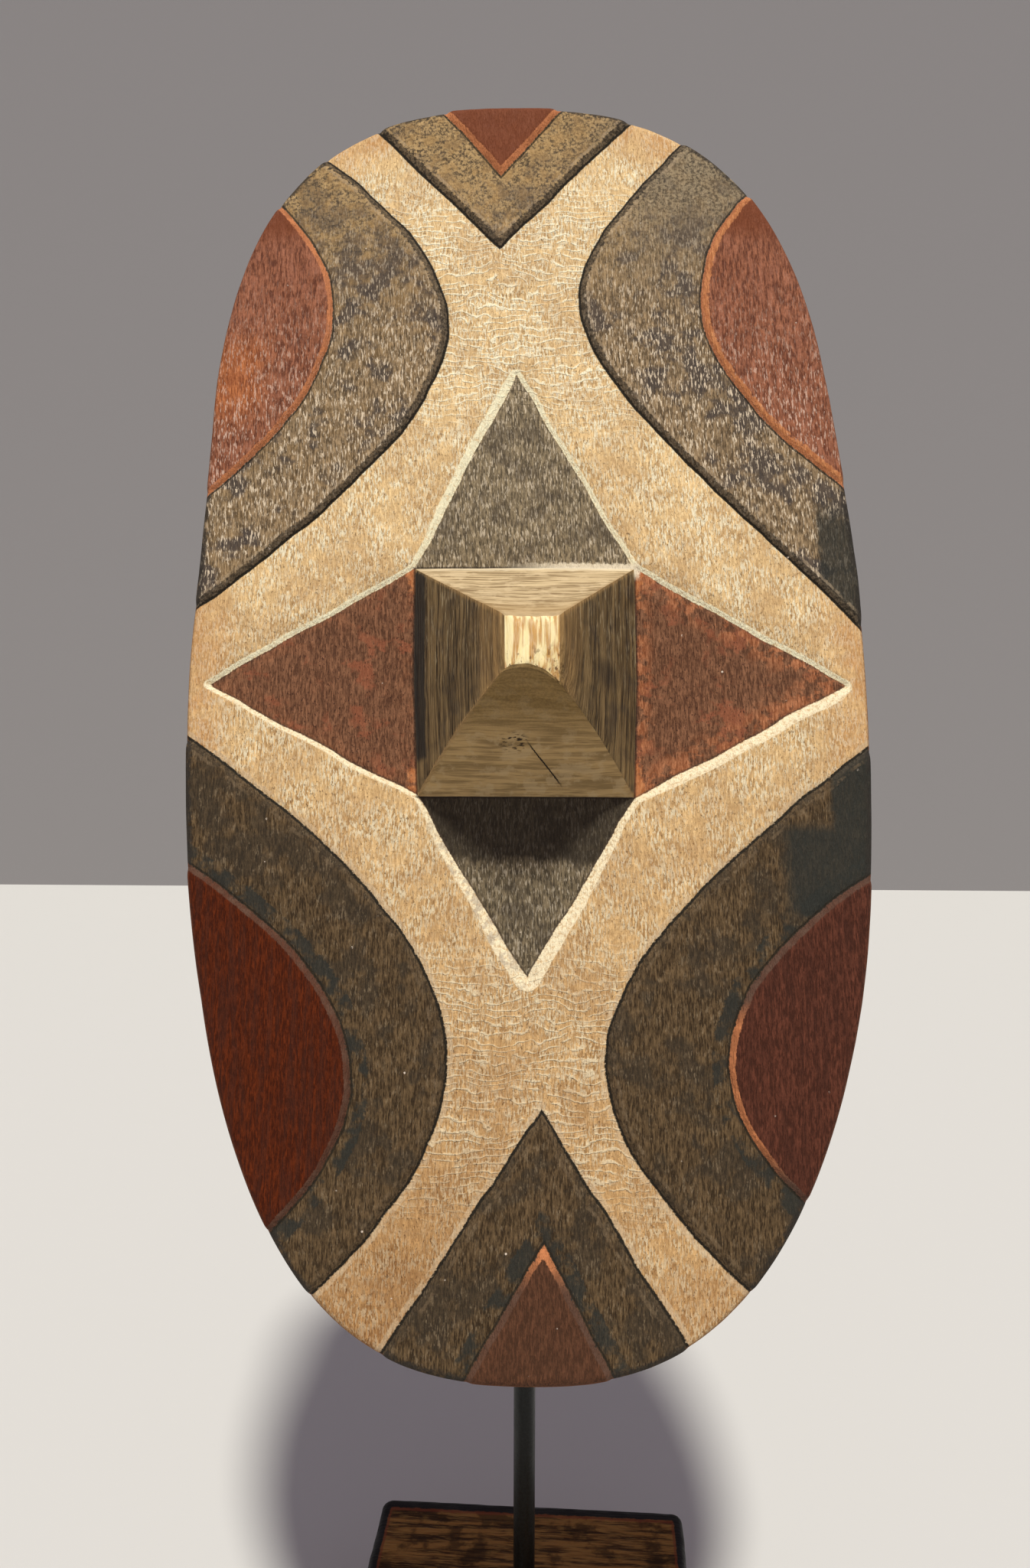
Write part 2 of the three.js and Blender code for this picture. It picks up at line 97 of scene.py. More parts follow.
# The old board isn't quite true: this is how far it drifts sideways at some heights.
DRIFT = [(-321, 0.0), (-153, 1.7), (-57, 0.3), (57, -1.0), (161, -5.7), (317, -8.0)]
BOSS_NARROWING = 0.045  # of the boss's width, at its foot's lower edge
HOLLOW = {"mouth": 41.8, "floor": 14, "top": 36}
GRIP_REACH, GRIP_FLAT, GRIP_HALF = 58, 44, 11  # half its length, its flat part and its height
GRIP_FRONT, GRIP_BACK = -9, -24

# The base block, in millimetres and degrees. Its height is the CAD block's.
BLOCK_HALF = (93.5, 88.5)
BLOCK_TURN = -2.5
BLOCK_CORNER = 6.5
BLOCK_FOOT_ROUND = 1.5
BLOCK_EDGE_IN, BLOCK_EDGE_DOWN = 4.6, 4.2  # the worn upper edge

# The stage, in metres and degrees.
STAGE_REACH, BACKDROP_AT, STAGE_DEPTH = 6, 2.6, 0.03
LAMP_UP, LAMP_RIGHT, LAMP_SPREAD = 65.5, 7.5, 6
CAMERA_PLACE = (0.0073, -0.5849, 0.5562)
CAMERA_DOWN, CAMERA_LEFT, CAMERA_ROLL = 4.669, 1.285, 0.147

# How finely the board's mesh is divided.
AROUND_ENDS, AROUND_SIDES = 420, 280  # points along each side of the boss's square
FRONT_RINGS, BOSS_RINGS, SUMMIT_RINGS = 230, 54, 10
RIM_RINGS, BACK_RINGS, WALL_RINGS = 7, 34, 16


# The board's place in the frame.
def board_matrix():
    joints = {joint["name"]: joint for joint in frame["joints"]}
    up = Vector(joints["shield_lift"]["axis"]).normalized()
    across = Vector((1, 0, 0))
    out = across.cross(up)
    place = Matrix((across, up, out)).transposed().to_4x4()
    place.translation = Vector(joints["head_tilt"]["pos_m"]) + out * PIVOT_SETBACK * MM
    return place


# Shapes of the carving.
def held(value):
    """Holds a value between 0 and 1."""
    return np.clip(value, 0, 1)


def fall(x, y):
    return DOME_ACROSS * (x / HALF_WIDTH) ** 2 + DOME_ALONG * (y / BOTTOM) ** 2


def back_height(x, y):
    return -THICKNESS + BUMPER_GAP - 0.75 * fall(x, y)


def inside_outline(x, y):
    """Below 1 inside the outline, 1 on it."""
    up = held(y / NARROWED_AT)
    narrowing = np.where(x < 0, *TOP_NARROWING)
    x = x / (1 - narrowing * up * up * (3 - 2 * up))
    end = np.where(y > 0, TOP, BOTTOM)
    left, right = (np.where(y > 0, *curves) for curves in zip(TOP_CURVE, BOTTOM_CURVE))
    curve = left + (right - left) * held(0.5 + x / 40)
    return np.abs(x / HALF_WIDTH) ** SIDE_CURVE + np.abs(y / end) ** curve


def polygon_distance(x, y, points):
    """Distance to a polygon, negative inside it."""
    nearest = np.full(x.shape, 1e9)
    inside = np.zeros(x.shape, bool)
    for (x0, y0), (x1, y1) in zip(points, points[1:] + points[:1]):
        dx, dy = x1 - x0, y1 - y0
        along = held(((x - x0) * dx + (y - y0) * dy) / (dx * dx + dy * dy))
        nearest = np.minimum(nearest, np.hypot(x - x0 - along * dx, y - y0 - along * dy))
        if y0 != y1:
            inside ^= ((y0 > y) != (y1 > y)) & (x < dx * (y - y0) / dy + x0)
    return np.where(inside, -nearest, nearest)


def black_side_distance(x, y, side, middle, apex, roundness, steepness):
    """Distance into a black side field, whose edge is a hyperbola."""
    run = steepness * (y - middle)
    bend = np.hypot(roundness, run)
    slope = steepness * run / bend
    return (side * x - (apex - roundness + bend)) / np.sqrt(1 + slope**2)


def red_side_distance(x, y, side, middle, apex, bend):
    """Distance into a red side field, whose edge is a parabola."""
    rise = y - middle
    slope = 2 * bend * rise
    return (side * x - apex - bend * rise**2) / np.sqrt(1 + slope**2)


def end_distance(x, y, middle, apex, half, at):
    """Distance into a V-shaped field at the top or the bottom."""
    spread = half / abs(at - apex)
    return ((y - apex) * np.sign(at) * spread - np.abs(x - middle)) / math.hypot(1, spread)


def waver(x, y, size, step):
    """A hand's unevenness: a few crossing waves of about one size."""
    waves = ((1.0, 0.31, 0.4), (-0.54, 0.93, 1.9), (0.23, -1.12, 4.1), (1.31, 1.07, 2.7))
    total = sum(np.sin((a * x + b * y) / step + c) for a, b, c in waves)
    return size * total / len(waves)


def cut_distances(x, y):
    """Distances outwards from the three kinds of cut line: star, white to black, black to red."""
    x = x + waver(x, y, 0.8, 9) + waver(y, x, 0.4, 3.1)
    y = y + waver(y, x, 0.8, 8)
    black = [black_side_distance(x, y, *field) for field in BLACK_SIDES]
    black += [end_distance(x, y, *field) for field in BLACK_ENDS]
    red = [red_side_distance(x, y, *field) for field in RED_SIDES]
    red += [end_distance(x, y, *field) for field in RED_ENDS]
    return polygon_distance(x, y, STAR), np.maximum.reduce(black), np.maximum.reduce(red)


def star_slope(x, y):
    """Width of the cream slope round the star, broad by its lower, right and upper left edges."""
    right, top = BOSS_HALF
    lower_tip = held((-top - y) / 70)
    right_tip = held((x - right) / 20) * held(-y / 8)
    upper_left = held((y - top) / 30) * held(-x / 8)
    return 2.4 + 3.8 * lower_tip + 2.6 * right_tip + 1.9 * upper_left


def raised(distance, width):
    """From 0 on a cut line to 1 past its slope, steep at the cut and rounded off at the top."""
    share = held(distance / width)
    return share * (1.5 - 0.5 * share**2)


def front_height(x, y):
    star, black, red = cut_distances(x, y)
    star_width = star_slope(x, y) + UPPER_STAR_EASE * held(y / 20)
    level = raised(star, star_width) + raised(black, BLACK_BEVEL) + raised(red, RED_BEVEL)
    groove = sum(np.exp(-((cut / GROOVE_HALF) ** 2)) for cut in (star, black, red))
    tool = waver(x, y, 0.5, 17) + waver(y, x, 0.22, 5) + waver(x, y * 0.3, 0.12, 1.9)
    return STEP * level - GROOVE_DEPTH * groove - fall(x, y) + tool


def hung(x, y):
    """x as the finished board has it: its ends drift to one side, and the boss narrows downwards."""
    beside = held(1 - np.maximum(np.abs(x) - BOSS_HALF[0], 0) / 30)
    below = held(-y / BOSS_HALF[1]) * held((y + 110) / 50)
    x = x * (1 - BOSS_NARROWING * beside * below)
    return x + np.interp(y, *zip(*DRIFT))


# The board's mesh: rings that run from the summit of the boss over the front, the rim and the back
# to the floor of the hollow.
def square(half_x, half_y):
    """Points round a rectangle, from its lower right corner, anticlockwise."""
    ends = np.linspace(0, 1, AROUND_ENDS, endpoint=False)
    sides = np.linspace(0, 1, AROUND_SIDES, endpoint=False)
    right = np.stack([np.full(sides.shape, half_x), (2 * sides - 1) * half_y])
    top = np.stack([(1 - 2 * ends) * half_x, np.full(ends.shape, half_y)])
    return np.hstack([right, top, -right, -top])


def outline_points(directions):
    """Where rays from the middle meet the outline."""
    low = np.zeros(directions.shape[1])
    high = np.full(directions.shape[1], 2.0 * BOTTOM)
    for _ in range(40):
        middle = (low + high) / 2
        inside = inside_outline(*(directions * middle)) < 1
        low = np.where(inside, middle, low)
        high = np.where(inside, high, middle)
    return directions * low


def outward(ring):
    """Unit normals of a closed ring, pointing out of it."""
    along = np.roll(ring, -1, axis=1) - np.roll(ring, 1, axis=1)
    normal = np.stack([along[1], -along[0]])
    return normal / np.hypot(*normal)


def boss_sides(up):
    """Where the boss's left, right, lower and upper sides are at a share of its height."""
    half_x, half_y = BOSS_HALF
    scooped = up + SCOOP * up * (1 - up)
    left = -half_x * (1 - up) + SUMMIT["left"] * up
    right = half_x * (1 - up) + SUMMIT["right"] * up
    low = -half_y * (1 - scooped) + SUMMIT["bottom"] * scooped
    high = half_y * (1 - up) + SUMMIT["top"] * up
    return left, right, low, high


def boss_ring(up):
    """The boss at a share of its height: flat sides, and end-grain faces a little scooped."""
    left, right, low, high = boss_sides(up)
    x, y = square(1, 1)
    middle, half = (right + left) / 2, (right - left) / 2
    bulge = 1.6 * up * (1 - up) * np.where(x < -0.9999, -1, 0)
    arch = 1 - x**2
    lower_edge = low + (ARCH["rise"] * arch + ARCH["tilt"] * x) * up**1.5
    upper_edge = high - arch * (0.5 * up + 5 * up * (1 - up))
    edges = np.where(x > 0, ARCH["tilt"], -ARCH["tilt"]) * up**1.5 * (1 - y) / 2
    y_out = np.where(y > 0.9999, upper_edge, (high + low) / 2 + (high - low) / 2 * y + edges)
    y_out = np.where(y < -0.9999, lower_edge, y_out)
    return middle + half * x + bulge, y_out


def boss_droop():
    """How far each point of a boss ring sinks at the summit: its lower corners are worn down."""
    x, y = square(1, 1)
    return ARCH["droop"] * (x + 0.325) ** 2 * held((1 - y) / 2) ** 2.5


def board_rings():
    """All rings in order, as (x, y, z) arrays, with the number of the surface that each one starts."""
    rings = []

    def add(kind, x, y, z):
        rings.append((kind, np.broadcast_to(x, (around,)), y, np.broadcast_to(z, (around,))))

    base = square(*BOSS_HALF)
    around = base.shape[1]
    summit_x, summit_y = boss_ring(1.0)
    droop = boss_droop()
    middle_x, middle_y = summit_x.mean(), summit_y.mean() + 1.5
    for share in np.linspace(0.04, 1, SUMMIT_RINGS, endpoint=False):
        dish = 0.4 * (1 - share**2) + 0.4 * np.sin(summit_x * share * 0.9)
        worn = 1.0 * share**6 + droop * share**1.5
        add("summit", middle_x + (summit_x - middle_x) * share,
            middle_y + (summit_y - middle_y) * share, BOSS_HEIGHT + dish - worn)
    foot_height = front_height(base[0] * 1.01, base[1] * 1.01)
    for down in np.linspace(0, 1, BOSS_RINGS, endpoint=False):
        up = 1 - down**1.08
        x, y = boss_ring(up)
        carved = waver(x * 0.6 + y, y - x, 0.5, 4.5) * math.sin(math.pi * down)
        worn = droop * up + (1.0 if down == 0 else 0)
        add("boss", x, y, foot_height * down + BOSS_HEIGHT * up + carved - worn)

    outline = outline_points(base / np.hypot(*base))
    normal = outward(outline)
    inner = outline - normal * RIM_ROUND
    for share in np.linspace(0, 1, FRONT_RINGS):
        x, y = base + (inner - base) * share
        add("front", x, y, front_height(x, y))
    front_z = rings[-1][3]
    back_z = back_height(*outline)
    for turn in np.linspace(0, math.pi / 2, RIM_RINGS)[1:]:
        x, y = inner + normal * RIM_ROUND * math.sin(turn)
        add("front", x, y, front_z - RIM_ROUND * (1 - math.cos(turn)))
    for share in (0.25, 0.5, 0.75):
        x, y = outline + normal * waver(outline[0], outline[1], 0.25, 6)
        add("rim", x, y, (front_z - RIM_ROUND) * (1 - share) + (back_z + BACK_ROUND) * share)
    for turn in np.linspace(0, math.pi / 2, RIM_RINGS):
        x, y = outline - normal * BACK_ROUND * (1 - math.cos(turn))
        add("back", x, y, back_z + BACK_ROUND * (1 - math.sin(turn)))

    mouth = square(HOLLOW["mouth"], HOLLOW["mouth"])
    start = outline - normal * BACK_ROUND
    for share in np.linspace(0, 1, BACK_RINGS)[1:]:
        x, y = start + (mouth - start) * share
        add("back", x, y, back_height(x, y) + waver(x, y, 0.5, 11) + waver(y, x, 0.3, 4))
    mouth_z = rings[-1][3]
    floor = square(HOLLOW["floor"], HOLLOW["floor"])
    for share in np.linspace(0, 1, WALL_RINGS)[1:]:
        x, y = mouth + (floor - mouth) * share
        rough = waver(x + y, mouth_z + 50 * share, 0.6, 5) * math.sin(math.pi * share)
        add("hollow", x, y, mouth_z * (1 - share) + HOLLOW["top"] * share + rough)
    for share in (0.75, 0.5, 0.25, 0.05):
        x, y = floor * share
        add("hollow", x, y, HOLLOW["top"] + 1.2 * (1 - share))
    return rings


def ringed_mesh(name, points, around, smooth_ends=True):
    """A mesh in metres through rings of points in millimetres, with a flat face at each end."""
    count = len(points) - around  # of the faces between the rings
    start, here = np.arange(0, count, around)[:, None], np.arange(around)
    low, step = start + here, start + (here + 1) % around
    quads = np.stack([low, low + around, step + around, step], axis=-1)
    loops = np.concatenate([quads.ravel(), here, count + here[::-1]])
    starts = np.append(np.arange(count) * 4, [count * 4, count * 4 + around])
    mesh = bpy.data.meshes.new(name)
    mesh.vertices.add(len(points))
    mesh.vertices.foreach_set("co", points.ravel() * MM)
    mesh.loops.add(len(loops))
    mesh.loops.foreach_set("vertex_index", loops.astype(np.int32))
    mesh.polygons.add(count + 2)
    mesh.polygons.foreach_set("loop_start", starts.astype(np.int32))
    mesh.polygons.foreach_set("use_smooth", np.append(np.ones(count, bool), [smooth_ends] * 2))
    mesh.update(calc_edges=True)
    return mesh


def board_surfaces(kinds, around):
    """For each face, which of the board's materials it has."""
    surface = {"front": 0, "boss": 1, "summit": 3, "rim": 4, "back": 4, "hollow": 4}
    faces = np.repeat([surface[kind] for kind in kinds[1:]], around)
    sector = np.repeat((1, 2, 1, 2), (AROUND_SIDES, AROUND_ENDS, AROUND_SIDES, AROUND_ENDS))
    sector = np.tile(sector, len(kinds) - 1)
    boss_foot = [pair == ("boss", "front") for pair in zip(kinds, kinds[1:])]
    on_boss = (faces == 1) | np.repeat(boss_foot, around)
    return np.append(np.where(on_boss, sector, faces), [3, 4])


def board_mesh():
    kinds, *places = zip(*board_rings())
    around = len(places[0][0])
    x, y, z = (np.concatenate(place) for place in places)
    mesh = ringed_mesh("carved_board", np.stack([hung(x, y), y, z], axis=1), around)
    surfaces = board_surfaces(kinds, around).astype(np.int32)
    mesh.polygons.foreach_set("material_index", surfaces)

    store(mesh, "place", x, y, z)
    front = np.repeat([kind == "front" for kind in kinds], around)
    store(mesh, "cuts", *(np.where(front, cut, 99) for cut in cut_distances(x, y)))
    square_distance = np.maximum(np.abs(x) - BOSS_HALF[0], np.abs(y) - BOSS_HALF[1])
    store(mesh, "edges", rim_distance(x, y), hip_distance(x, y, z), square_distance)
    nothing = np.zeros_like(x)
    store(mesh, "slope", star_slope(x, y), nothing, nothing)
    return mesh


def store(mesh, name, *values):
    """Keeps a vector for each vertex, in millimetres, for the materials to read."""
    layer = mesh.attributes.new(name, "FLOAT_VECTOR", "POINT")
    layer.data.foreach_set("vector", np.stack(values, axis=1).astype(np.float32).ravel())


def rim_distance(x, y):
    """Distance in from the outline, good near it."""
    reach = inside_outline(x, y)
    small = 0.05
    slope_x = (inside_outline(x + small, y) - reach) / small
    slope_y = (inside_outline(x, y + small) - reach) / small
    return np.clip((1 - reach) / np.maximum(np.hypot(slope_x, slope_y), 1e-4), -5, 60)


def hip_distance(x, y, z):
    """Distance on the boss to its nearest hip or summit edge, seen from the front."""
    up = held(z / BOSS_HEIGHT)
    left, right, bottom, top = boss_sides(up)
    tilt = ARCH["tilt"] * up**1.5
    corners = [(left, top), (right, top), (left, bottom - tilt), (right, bottom + tilt)]
    return np.minimum.reduce([np.hypot(x - cx, y - cy) for cx, cy in corners])


# Node materials.
class Finish:
    """A material being built: each method adds a node and returns its output."""

    def __init__(self, name, gloss=0.5, metallic=0):
        self.material = bpy.data.materials.new(name)
        self.material.use_nodes = True
        self.tree = self.material.node_tree
        self.shader = self.tree.nodes["Principled BSDF"]
        self.shader.inputs["Specular IOR Level"].default_value = gloss
        self.shader.inputs["Metallic"].default_value = metallic

    def put(self, socket, value):
        if isinstance(value, bpy.types.NodeSocket):
            self.tree.links.new(value, socket)
        elif isinstance(value, tuple) and len(socket.default_value) == 4:
            socket.default_value = (*value, 1)
        else:
            socket.default_value = value

    def add(self, kind, inputs=(), output=0, **settings):
        node = self.tree.nodes.new("ShaderNode" + kind)
        for key, value in settings.items():
            setattr(node, key, value)
        for key, value in dict(inputs).items():
            self.put(node.inputs[key], value)
        return node.outputs[output]

    def math(self, operation, a, b=0.0):
        return self.add("Math", {0: a, 1: b}, operation=operation)

    def span(self, value, low, high, to_low=0.0, to_high=1.0):
        """Carries low..high to 0..1 or to another span, and holds at its ends."""
        inputs = {0: value, 1: low, 2: high, 3: to_low, 4: to_high}
        return self.add("MapRange", inputs, interpolation_type="SMOOTHSTEP")

    def mix(self, share, a, b, blend="MIX"):
        inputs = {0: share, 6: a, 7: b}
        return self.add("Mix", inputs, 2, data_type="RGBA", blend_type=blend)

    def ramp(self, value, low, high, a, b):
        """From one colour to another as a value goes from low to high."""
        return self.mix(self.span(value, low, high), a, b)

    def over(self, base, share, strength, color):
        """Lays a colour over another, as much as its share of the place and its strength."""
        return self.mix(self.scaled(share, strength), base, color)

    def tinted(self, color, share, tint):
        """Multiplies a colour by a tint, as much as its share of the place."""
        return self.mix(share, color, self.mix(1.0, color, tint, "MULTIPLY"))

    def read(self, name):
        return self.add("Attribute", output="Vector", attribute_name=name)

    def split(self, vector):
        node = self.tree.nodes.new("ShaderNodeSeparateXYZ")
        self.put(node.inputs[0], vector)
        return node.outputs

    def stretch(self, vector, x, y, z=1.0):
        return self.add("VectorMath", {0: vector, 1: (x, y, z)}, operation="MULTIPLY")

    def shift(self, vector, x, y, z=0.0):
        return self.add("VectorMath", {0: vector, 1: (x, y, z)}, operation="ADD")

    def noise(self, vector, size, detail=3.0, roughness=0.5, distortion=0.0):
        """Soft noise from 0 to 1, whose blots are about size across."""
        inputs = {"Vector": vector, "Scale": 1 / size, "Detail": detail, "Roughness": roughness,
                  "Distortion": distortion}
        return self.add("TexNoise", inputs)

    def dashes(self, place, width, length, sharp=0.1, at=0.5):
        """Short strokes along the grain, 0 or 1 with edges as soft as sharp."""
        strokes = self.noise(self.stretch(place, 1, width / length), width, 2, 0.6)
        return self.span(strokes, at - sharp, at + sharp)

    def plus(self, value, other, weight):
        return self.math("ADD", value, self.scaled(other, weight))

    def blend(self, *pairs):
        """A weighted sum of values."""
        return self.fold("ADD", [self.scaled(value, weight) for value, weight in pairs])

    def bump(self, height, distance, strength=1.0):
        return self.add("Bump", {"Strength": strength, "Distance": distance, "Height": height})

    def fold(self, operation, values):
        total = values[0]
        for value in values[1:]:
            total = self.math(operation, total, value)
        return total

    def every(self, *shares):
        """The product of shares."""
        return self.fold("MULTIPLY", shares)

    def greatest(self, *shares):
        return self.fold("MAXIMUM", shares)

    def away(self, value, middle):
        """How far a value is from a middle, either way."""
        return self.math("ABSOLUTE", self.math("SUBTRACT", value, middle))

    def length(self, vector):
        return self.add("VectorMath", {0: vector}, "Value", operation="LENGTH")

    def inverse(self, share):
        return self.math("SUBTRACT", 1.0, share)

    def scaled(self, value, factor):
        return self.math("MULTIPLY", value, factor)

    def finish(self, color, roughness=None, normal=None):
        self.put(self.shader.inputs["Base Color"], color)
        if roughness is not None:
            self.put(self.shader.inputs["Roughness"], roughness)
        if normal is not None:
            self.put(self.shader.inputs["Normal"], normal)
        return self.material


# Paint colours, as linear red, green and blue.
CHALK_DARK, CHALK_MIDDLE, CHALK_LIGHT = (0.4, 0.235, 0.095), (0.95, 0.68, 0.335), (1.0, 0.94, 0.68)
OLIVE_DARK, OLIVE_LIGHT = (0.085, 0.056, 0.028), (0.38, 0.265, 0.145)
FLECK_AND_GLINT = (0.8, 0.66, 0.47)
BLACK_LINE = (0.022, 0.018, 0.012)
LOW_BLACK_DARK, LOW_BLACK_LIGHT = (0.034, 0.021, 0.01), (0.15, 0.096, 0.046)
BLUE_BLACK = (0.03, 0.032, 0.027)
BRICK_DARK, BRICK_LIGHT = (0.11, 0.034, 0.018), (0.345, 0.13, 0.066)
PINK = (0.46, 0.185, 0.105)
ORANGE_WOOD = (0.6, 0.225, 0.09)


def front_patterns():
    """The front's material, with the patterns and the distances that all its paints share."""
    f = Finish("painted_front", gloss=0.1)
    f.place = f.read("place")
    f.x, f.y, _ = f.split(f.place)
    f.star, f.black, f.red = f.split(f.read("cuts"))
    f.rim, _, f.boss = f.split(f.read("edges"))
    f.slope_width = f.split(f.read("slope"))[0]
    f.from_middle = f.math("ABSOLUTE", f.x)
    f.strokes = f.dashes(f.place, 1.05, 6.5, 0.08)
    f.fine = f.dashes(f.shift(f.place, 40, 11), 0.65, 3.8, 0.1)
    f.grain = f.blend((f.strokes, 0.55), (f.fine, 0.45))
    f.flecks = f.dashes(f.shift(f.place, 31, 7), 0.8, 4.2, 0.045, 0.585)
    f.dots = f.dashes(f.shift(f.place, 91, 57), 0.9, 1.6, 0.04, 0.64)
    f.blots = f.noise(f.place, 34, 4, 0.6)
    f.clouds = f.noise(f.shift(f.place, 200, 90), 13, 4, 0.62)
    f.patches = f.noise(f.shift(f.place, 77, 300), 7, 4, 0.65)
    f.grit = f.noise(f.shift(f.place, 5, 55), 1.6, 4, 0.7)
    f.ragged = f.math("SUBTRACT", f.grit, 0.5)
    f.soot = f.span(f.blend((f.blots, 0.55), (f.clouds, 0.45)), 0.48, 0.57)
    f.above = f.span(f.y, -40, 60)
    f.lower = f.inverse(f.above)
    return f


def grained(f, dark, light):
    return f.mix(f.grain, dark, light)


def past(f, cut, at, rough=0.8, soft=0.25):
    """1 beyond a distance from a cut line, with a ragged edge."""
    wavering = f.plus(cut, f.ragged, rough)
    return f.span(wavering, f.math("SUBTRACT", at, soft), f.math("ADD", at, soft))


def band(f, cut, start, stop, rough=1):
    """1 between two distances from a cut line."""
    return f.every(past(f, cut, start, rough), f.inverse(past(f, cut, stop, rough * 2)))


def wavy_ripples(f):
    """Crests and troughs of the ripples in the white, between the star and the end fields."""
    broad_wave = f.noise(f.stretch(f.place, 0.8, 1), 26, 2, 0.5)
    small_wave = f.noise(f.stretch(f.place, 0.7, 1), 6.5, 3, 0.6)
    wavy = f.blend((f.y, 0.27), (broad_wave, 5), (small_wave, 1.5))
    from_crest = f.away(f.math("FRACT", wavy), 0.5)
    by_ends = f.greatest(f.span(f.away(f.y, 200), 85, 40), f.span(f.away(f.y, -190), 75, 35))
    crests = f.every(f.span(from_crest, 0.17, 0.04), by_ends, f.span(f.noise(f.place, 4.5, 2), 0.36, 0.52))
    troughs = f.every(f.span(from_crest, 0.36, 0.48), by_ends, f.span(f.clouds, 0.35, 0.55))
    return crests, troughs


def chalk_paint(f, crests, troughs):
    """White chalk: tan and cream strokes and ripples, duller downwards (partly dust, partly painted shade for
    light that falls off towards the bottom) and warm by the rim.
    """
    depth = f.span(f.blend((f.clouds, 0.6), (f.blots, 0.4)), 0.4, 0.58, 0.55, 1)
    chalk = f.mix(f.inverse(f.every(f.inverse(f.grain), depth)), CHALK_DARK, CHALK_MIDDLE)
    short_strokes = f.dashes(f.shift(f.place, 12, 5), 0.85, 3.6, 0.05, 0.525)
    light_strokes = f.every(short_strokes, f.span(f.clouds, 0.34, 0.56))
    chalk = f.over(chalk, light_strokes, 0.8, CHALK_LIGHT)
    chalk = f.over(chalk, troughs, 0.45, (0.5, 0.32, 0.15))
    chalk = f.over(chalk, crests, 0.85, CHALK_LIGHT)
    dull = f.every(f.span(f.blots, 0.46, 0.6), f.span(f.patches, 0.38, 0.58, 0.4))
    chalk = f.over(chalk, dull, 0.45, (0.62, 0.4, 0.19))
    chalk = f.over(chalk, f.dots, 0.65, (0.16, 0.09, 0.04))
    warm = f.every(f.span(f.rim, 34, 3), f.span(f.clouds, 0.35, 0.6, 0.4),
                   f.span(f.y, -170, -90, 0.15))
    chalk = f.over(chalk, warm, 0.6, (0.62, 0.31, 0.11))
    # Duller downwards, most at the lower left: partly dust, partly painted shade for light that falls off towards
    # the bottom of the board.
    chalk = f.tinted(chalk, f.span(f.y, 170, -290), (0.73, 0.63, 0.55))
    low_left_dust_and_shade = f.every(f.span(f.y, -205, -270), f.span(f.x, 0, -25))
    return f.tinted(chalk, low_left_dust_and_shade, (0.78, 0.72, 0.68))


def upper_black_paint(f):
    """Worn soot over olive brown wood, speckled by the top, with light flecks along the grain that are partly worn
    pores and partly painted glints of light.
    """
    paint = grained(f, OLIVE_DARK, OLIVE_LIGHT)
    gritty = f.span(f.grit, 0.4, 0.58)
    speckled_left = f.mix(gritty, (0.085, 0.06, 0.033), (0.56, 0.375, 0.165))
    speckled_right = f.mix(gritty, (0.08, 0.066, 0.045), (0.36, 0.285, 0.175))
    speckled = f.ramp(f.x, 30, 80, speckled_left, speckled_right)
    paint = f.over(paint, f.span(f.y, 190, 285), 0.8, speckled)
    golden = f.every(f.span(f.patches, 0.46, 0.6), f.span(f.y, 150, 290, 0.25),
                     f.span(f.x, 70, 20, 0.2))
    paint = f.over(paint, golden, 0.6, (0.44, 0.27, 0.105))
    sooty = f.every(f.soot, f.span(f.y, 300, 200, 0.25, 0.8))
    paint = f.mix(sooty, paint, (0.06, 0.05, 0.046))
    # Light flecks, full below y 150 and none above 290: worn pores along the grain, and painted glints of light.
    flecked = f.every(f.flecks, f.span(f.clouds, 0.3, 0.48), f.span(f.y, 290, 150, 0))
    return f.over(paint, flecked, 0.85, FLECK_AND_GLINT)


def black_paint(f):
    """The black fields: duller below, with two blue-black patches by the right rim."""
    lower = grained(f, LOW_BLACK_DARK, LOW_BLACK_LIGHT)
    lower = f.over(lower, f.soot, 0.6, (0.04, 0.032, 0.022))
    flecked = f.every(f.flecks, f.span(f.patches, 0.45, 0.6))
    lower = f.over(lower, flecked, 0.45, (0.3, 0.22, 0.13))
    paint = f.mix(f.above, lower, upper_black_paint(f))
    right_rim = f.every(f.span(f.x, 118, 128), f.span(f.y, -118, -108), f.span(f.y, -66, -74))
    upper_reach = f.plus(f.x, f.patches, 8)
    upper_rim = f.every(f.span(upper_reach, 148, 152), f.span(f.y, 100, 80))
    return f.over(paint, f.greatest(right_rim, upper_rim), 0.88, BLUE_BLACK)


def upper_red_paint(f):
    """Brick red rubbed pink, with light flecks that are partly worn pores and partly painted glints of light, and
    glowing orange by the upper left rim.
    """
    paint = grained(f, BRICK_DARK, BRICK_LIGHT)
    stripes = f.dashes(f.shift(f.place, 3, 8), 1.9, 26, 0.08)
    paint = f.over(paint, f.every(stripes, f.span(f.patches, 0.42, 0.58)), 0.5, PINK)
    glow = f.every(f.span(f.rim, 42, 14), f.span(f.away(f.y, 160), 34, 8),
                   f.span(f.x, 0, -20), f.span(f.patches, 0.3, 0.5, 0.5))
    paint = f.over(paint, glow, 0.75, grained(f, (0.28, 0.075, 0.022), (0.56, 0.19, 0.06)))
    # Light flecks, thickest below y 130: worn pores, and painted glints of light.
    flecked = f.every(f.flecks, f.span(f.y, 230, 130, 0.05), f.span(f.clouds, 0.32, 0.5))
    paint = f.over(paint, flecked, 0.75, (0.72, 0.5, 0.38))
    return f.over(paint, f.span(f.y, 232, 248), 0.85, (0.185, 0.052, 0.02))


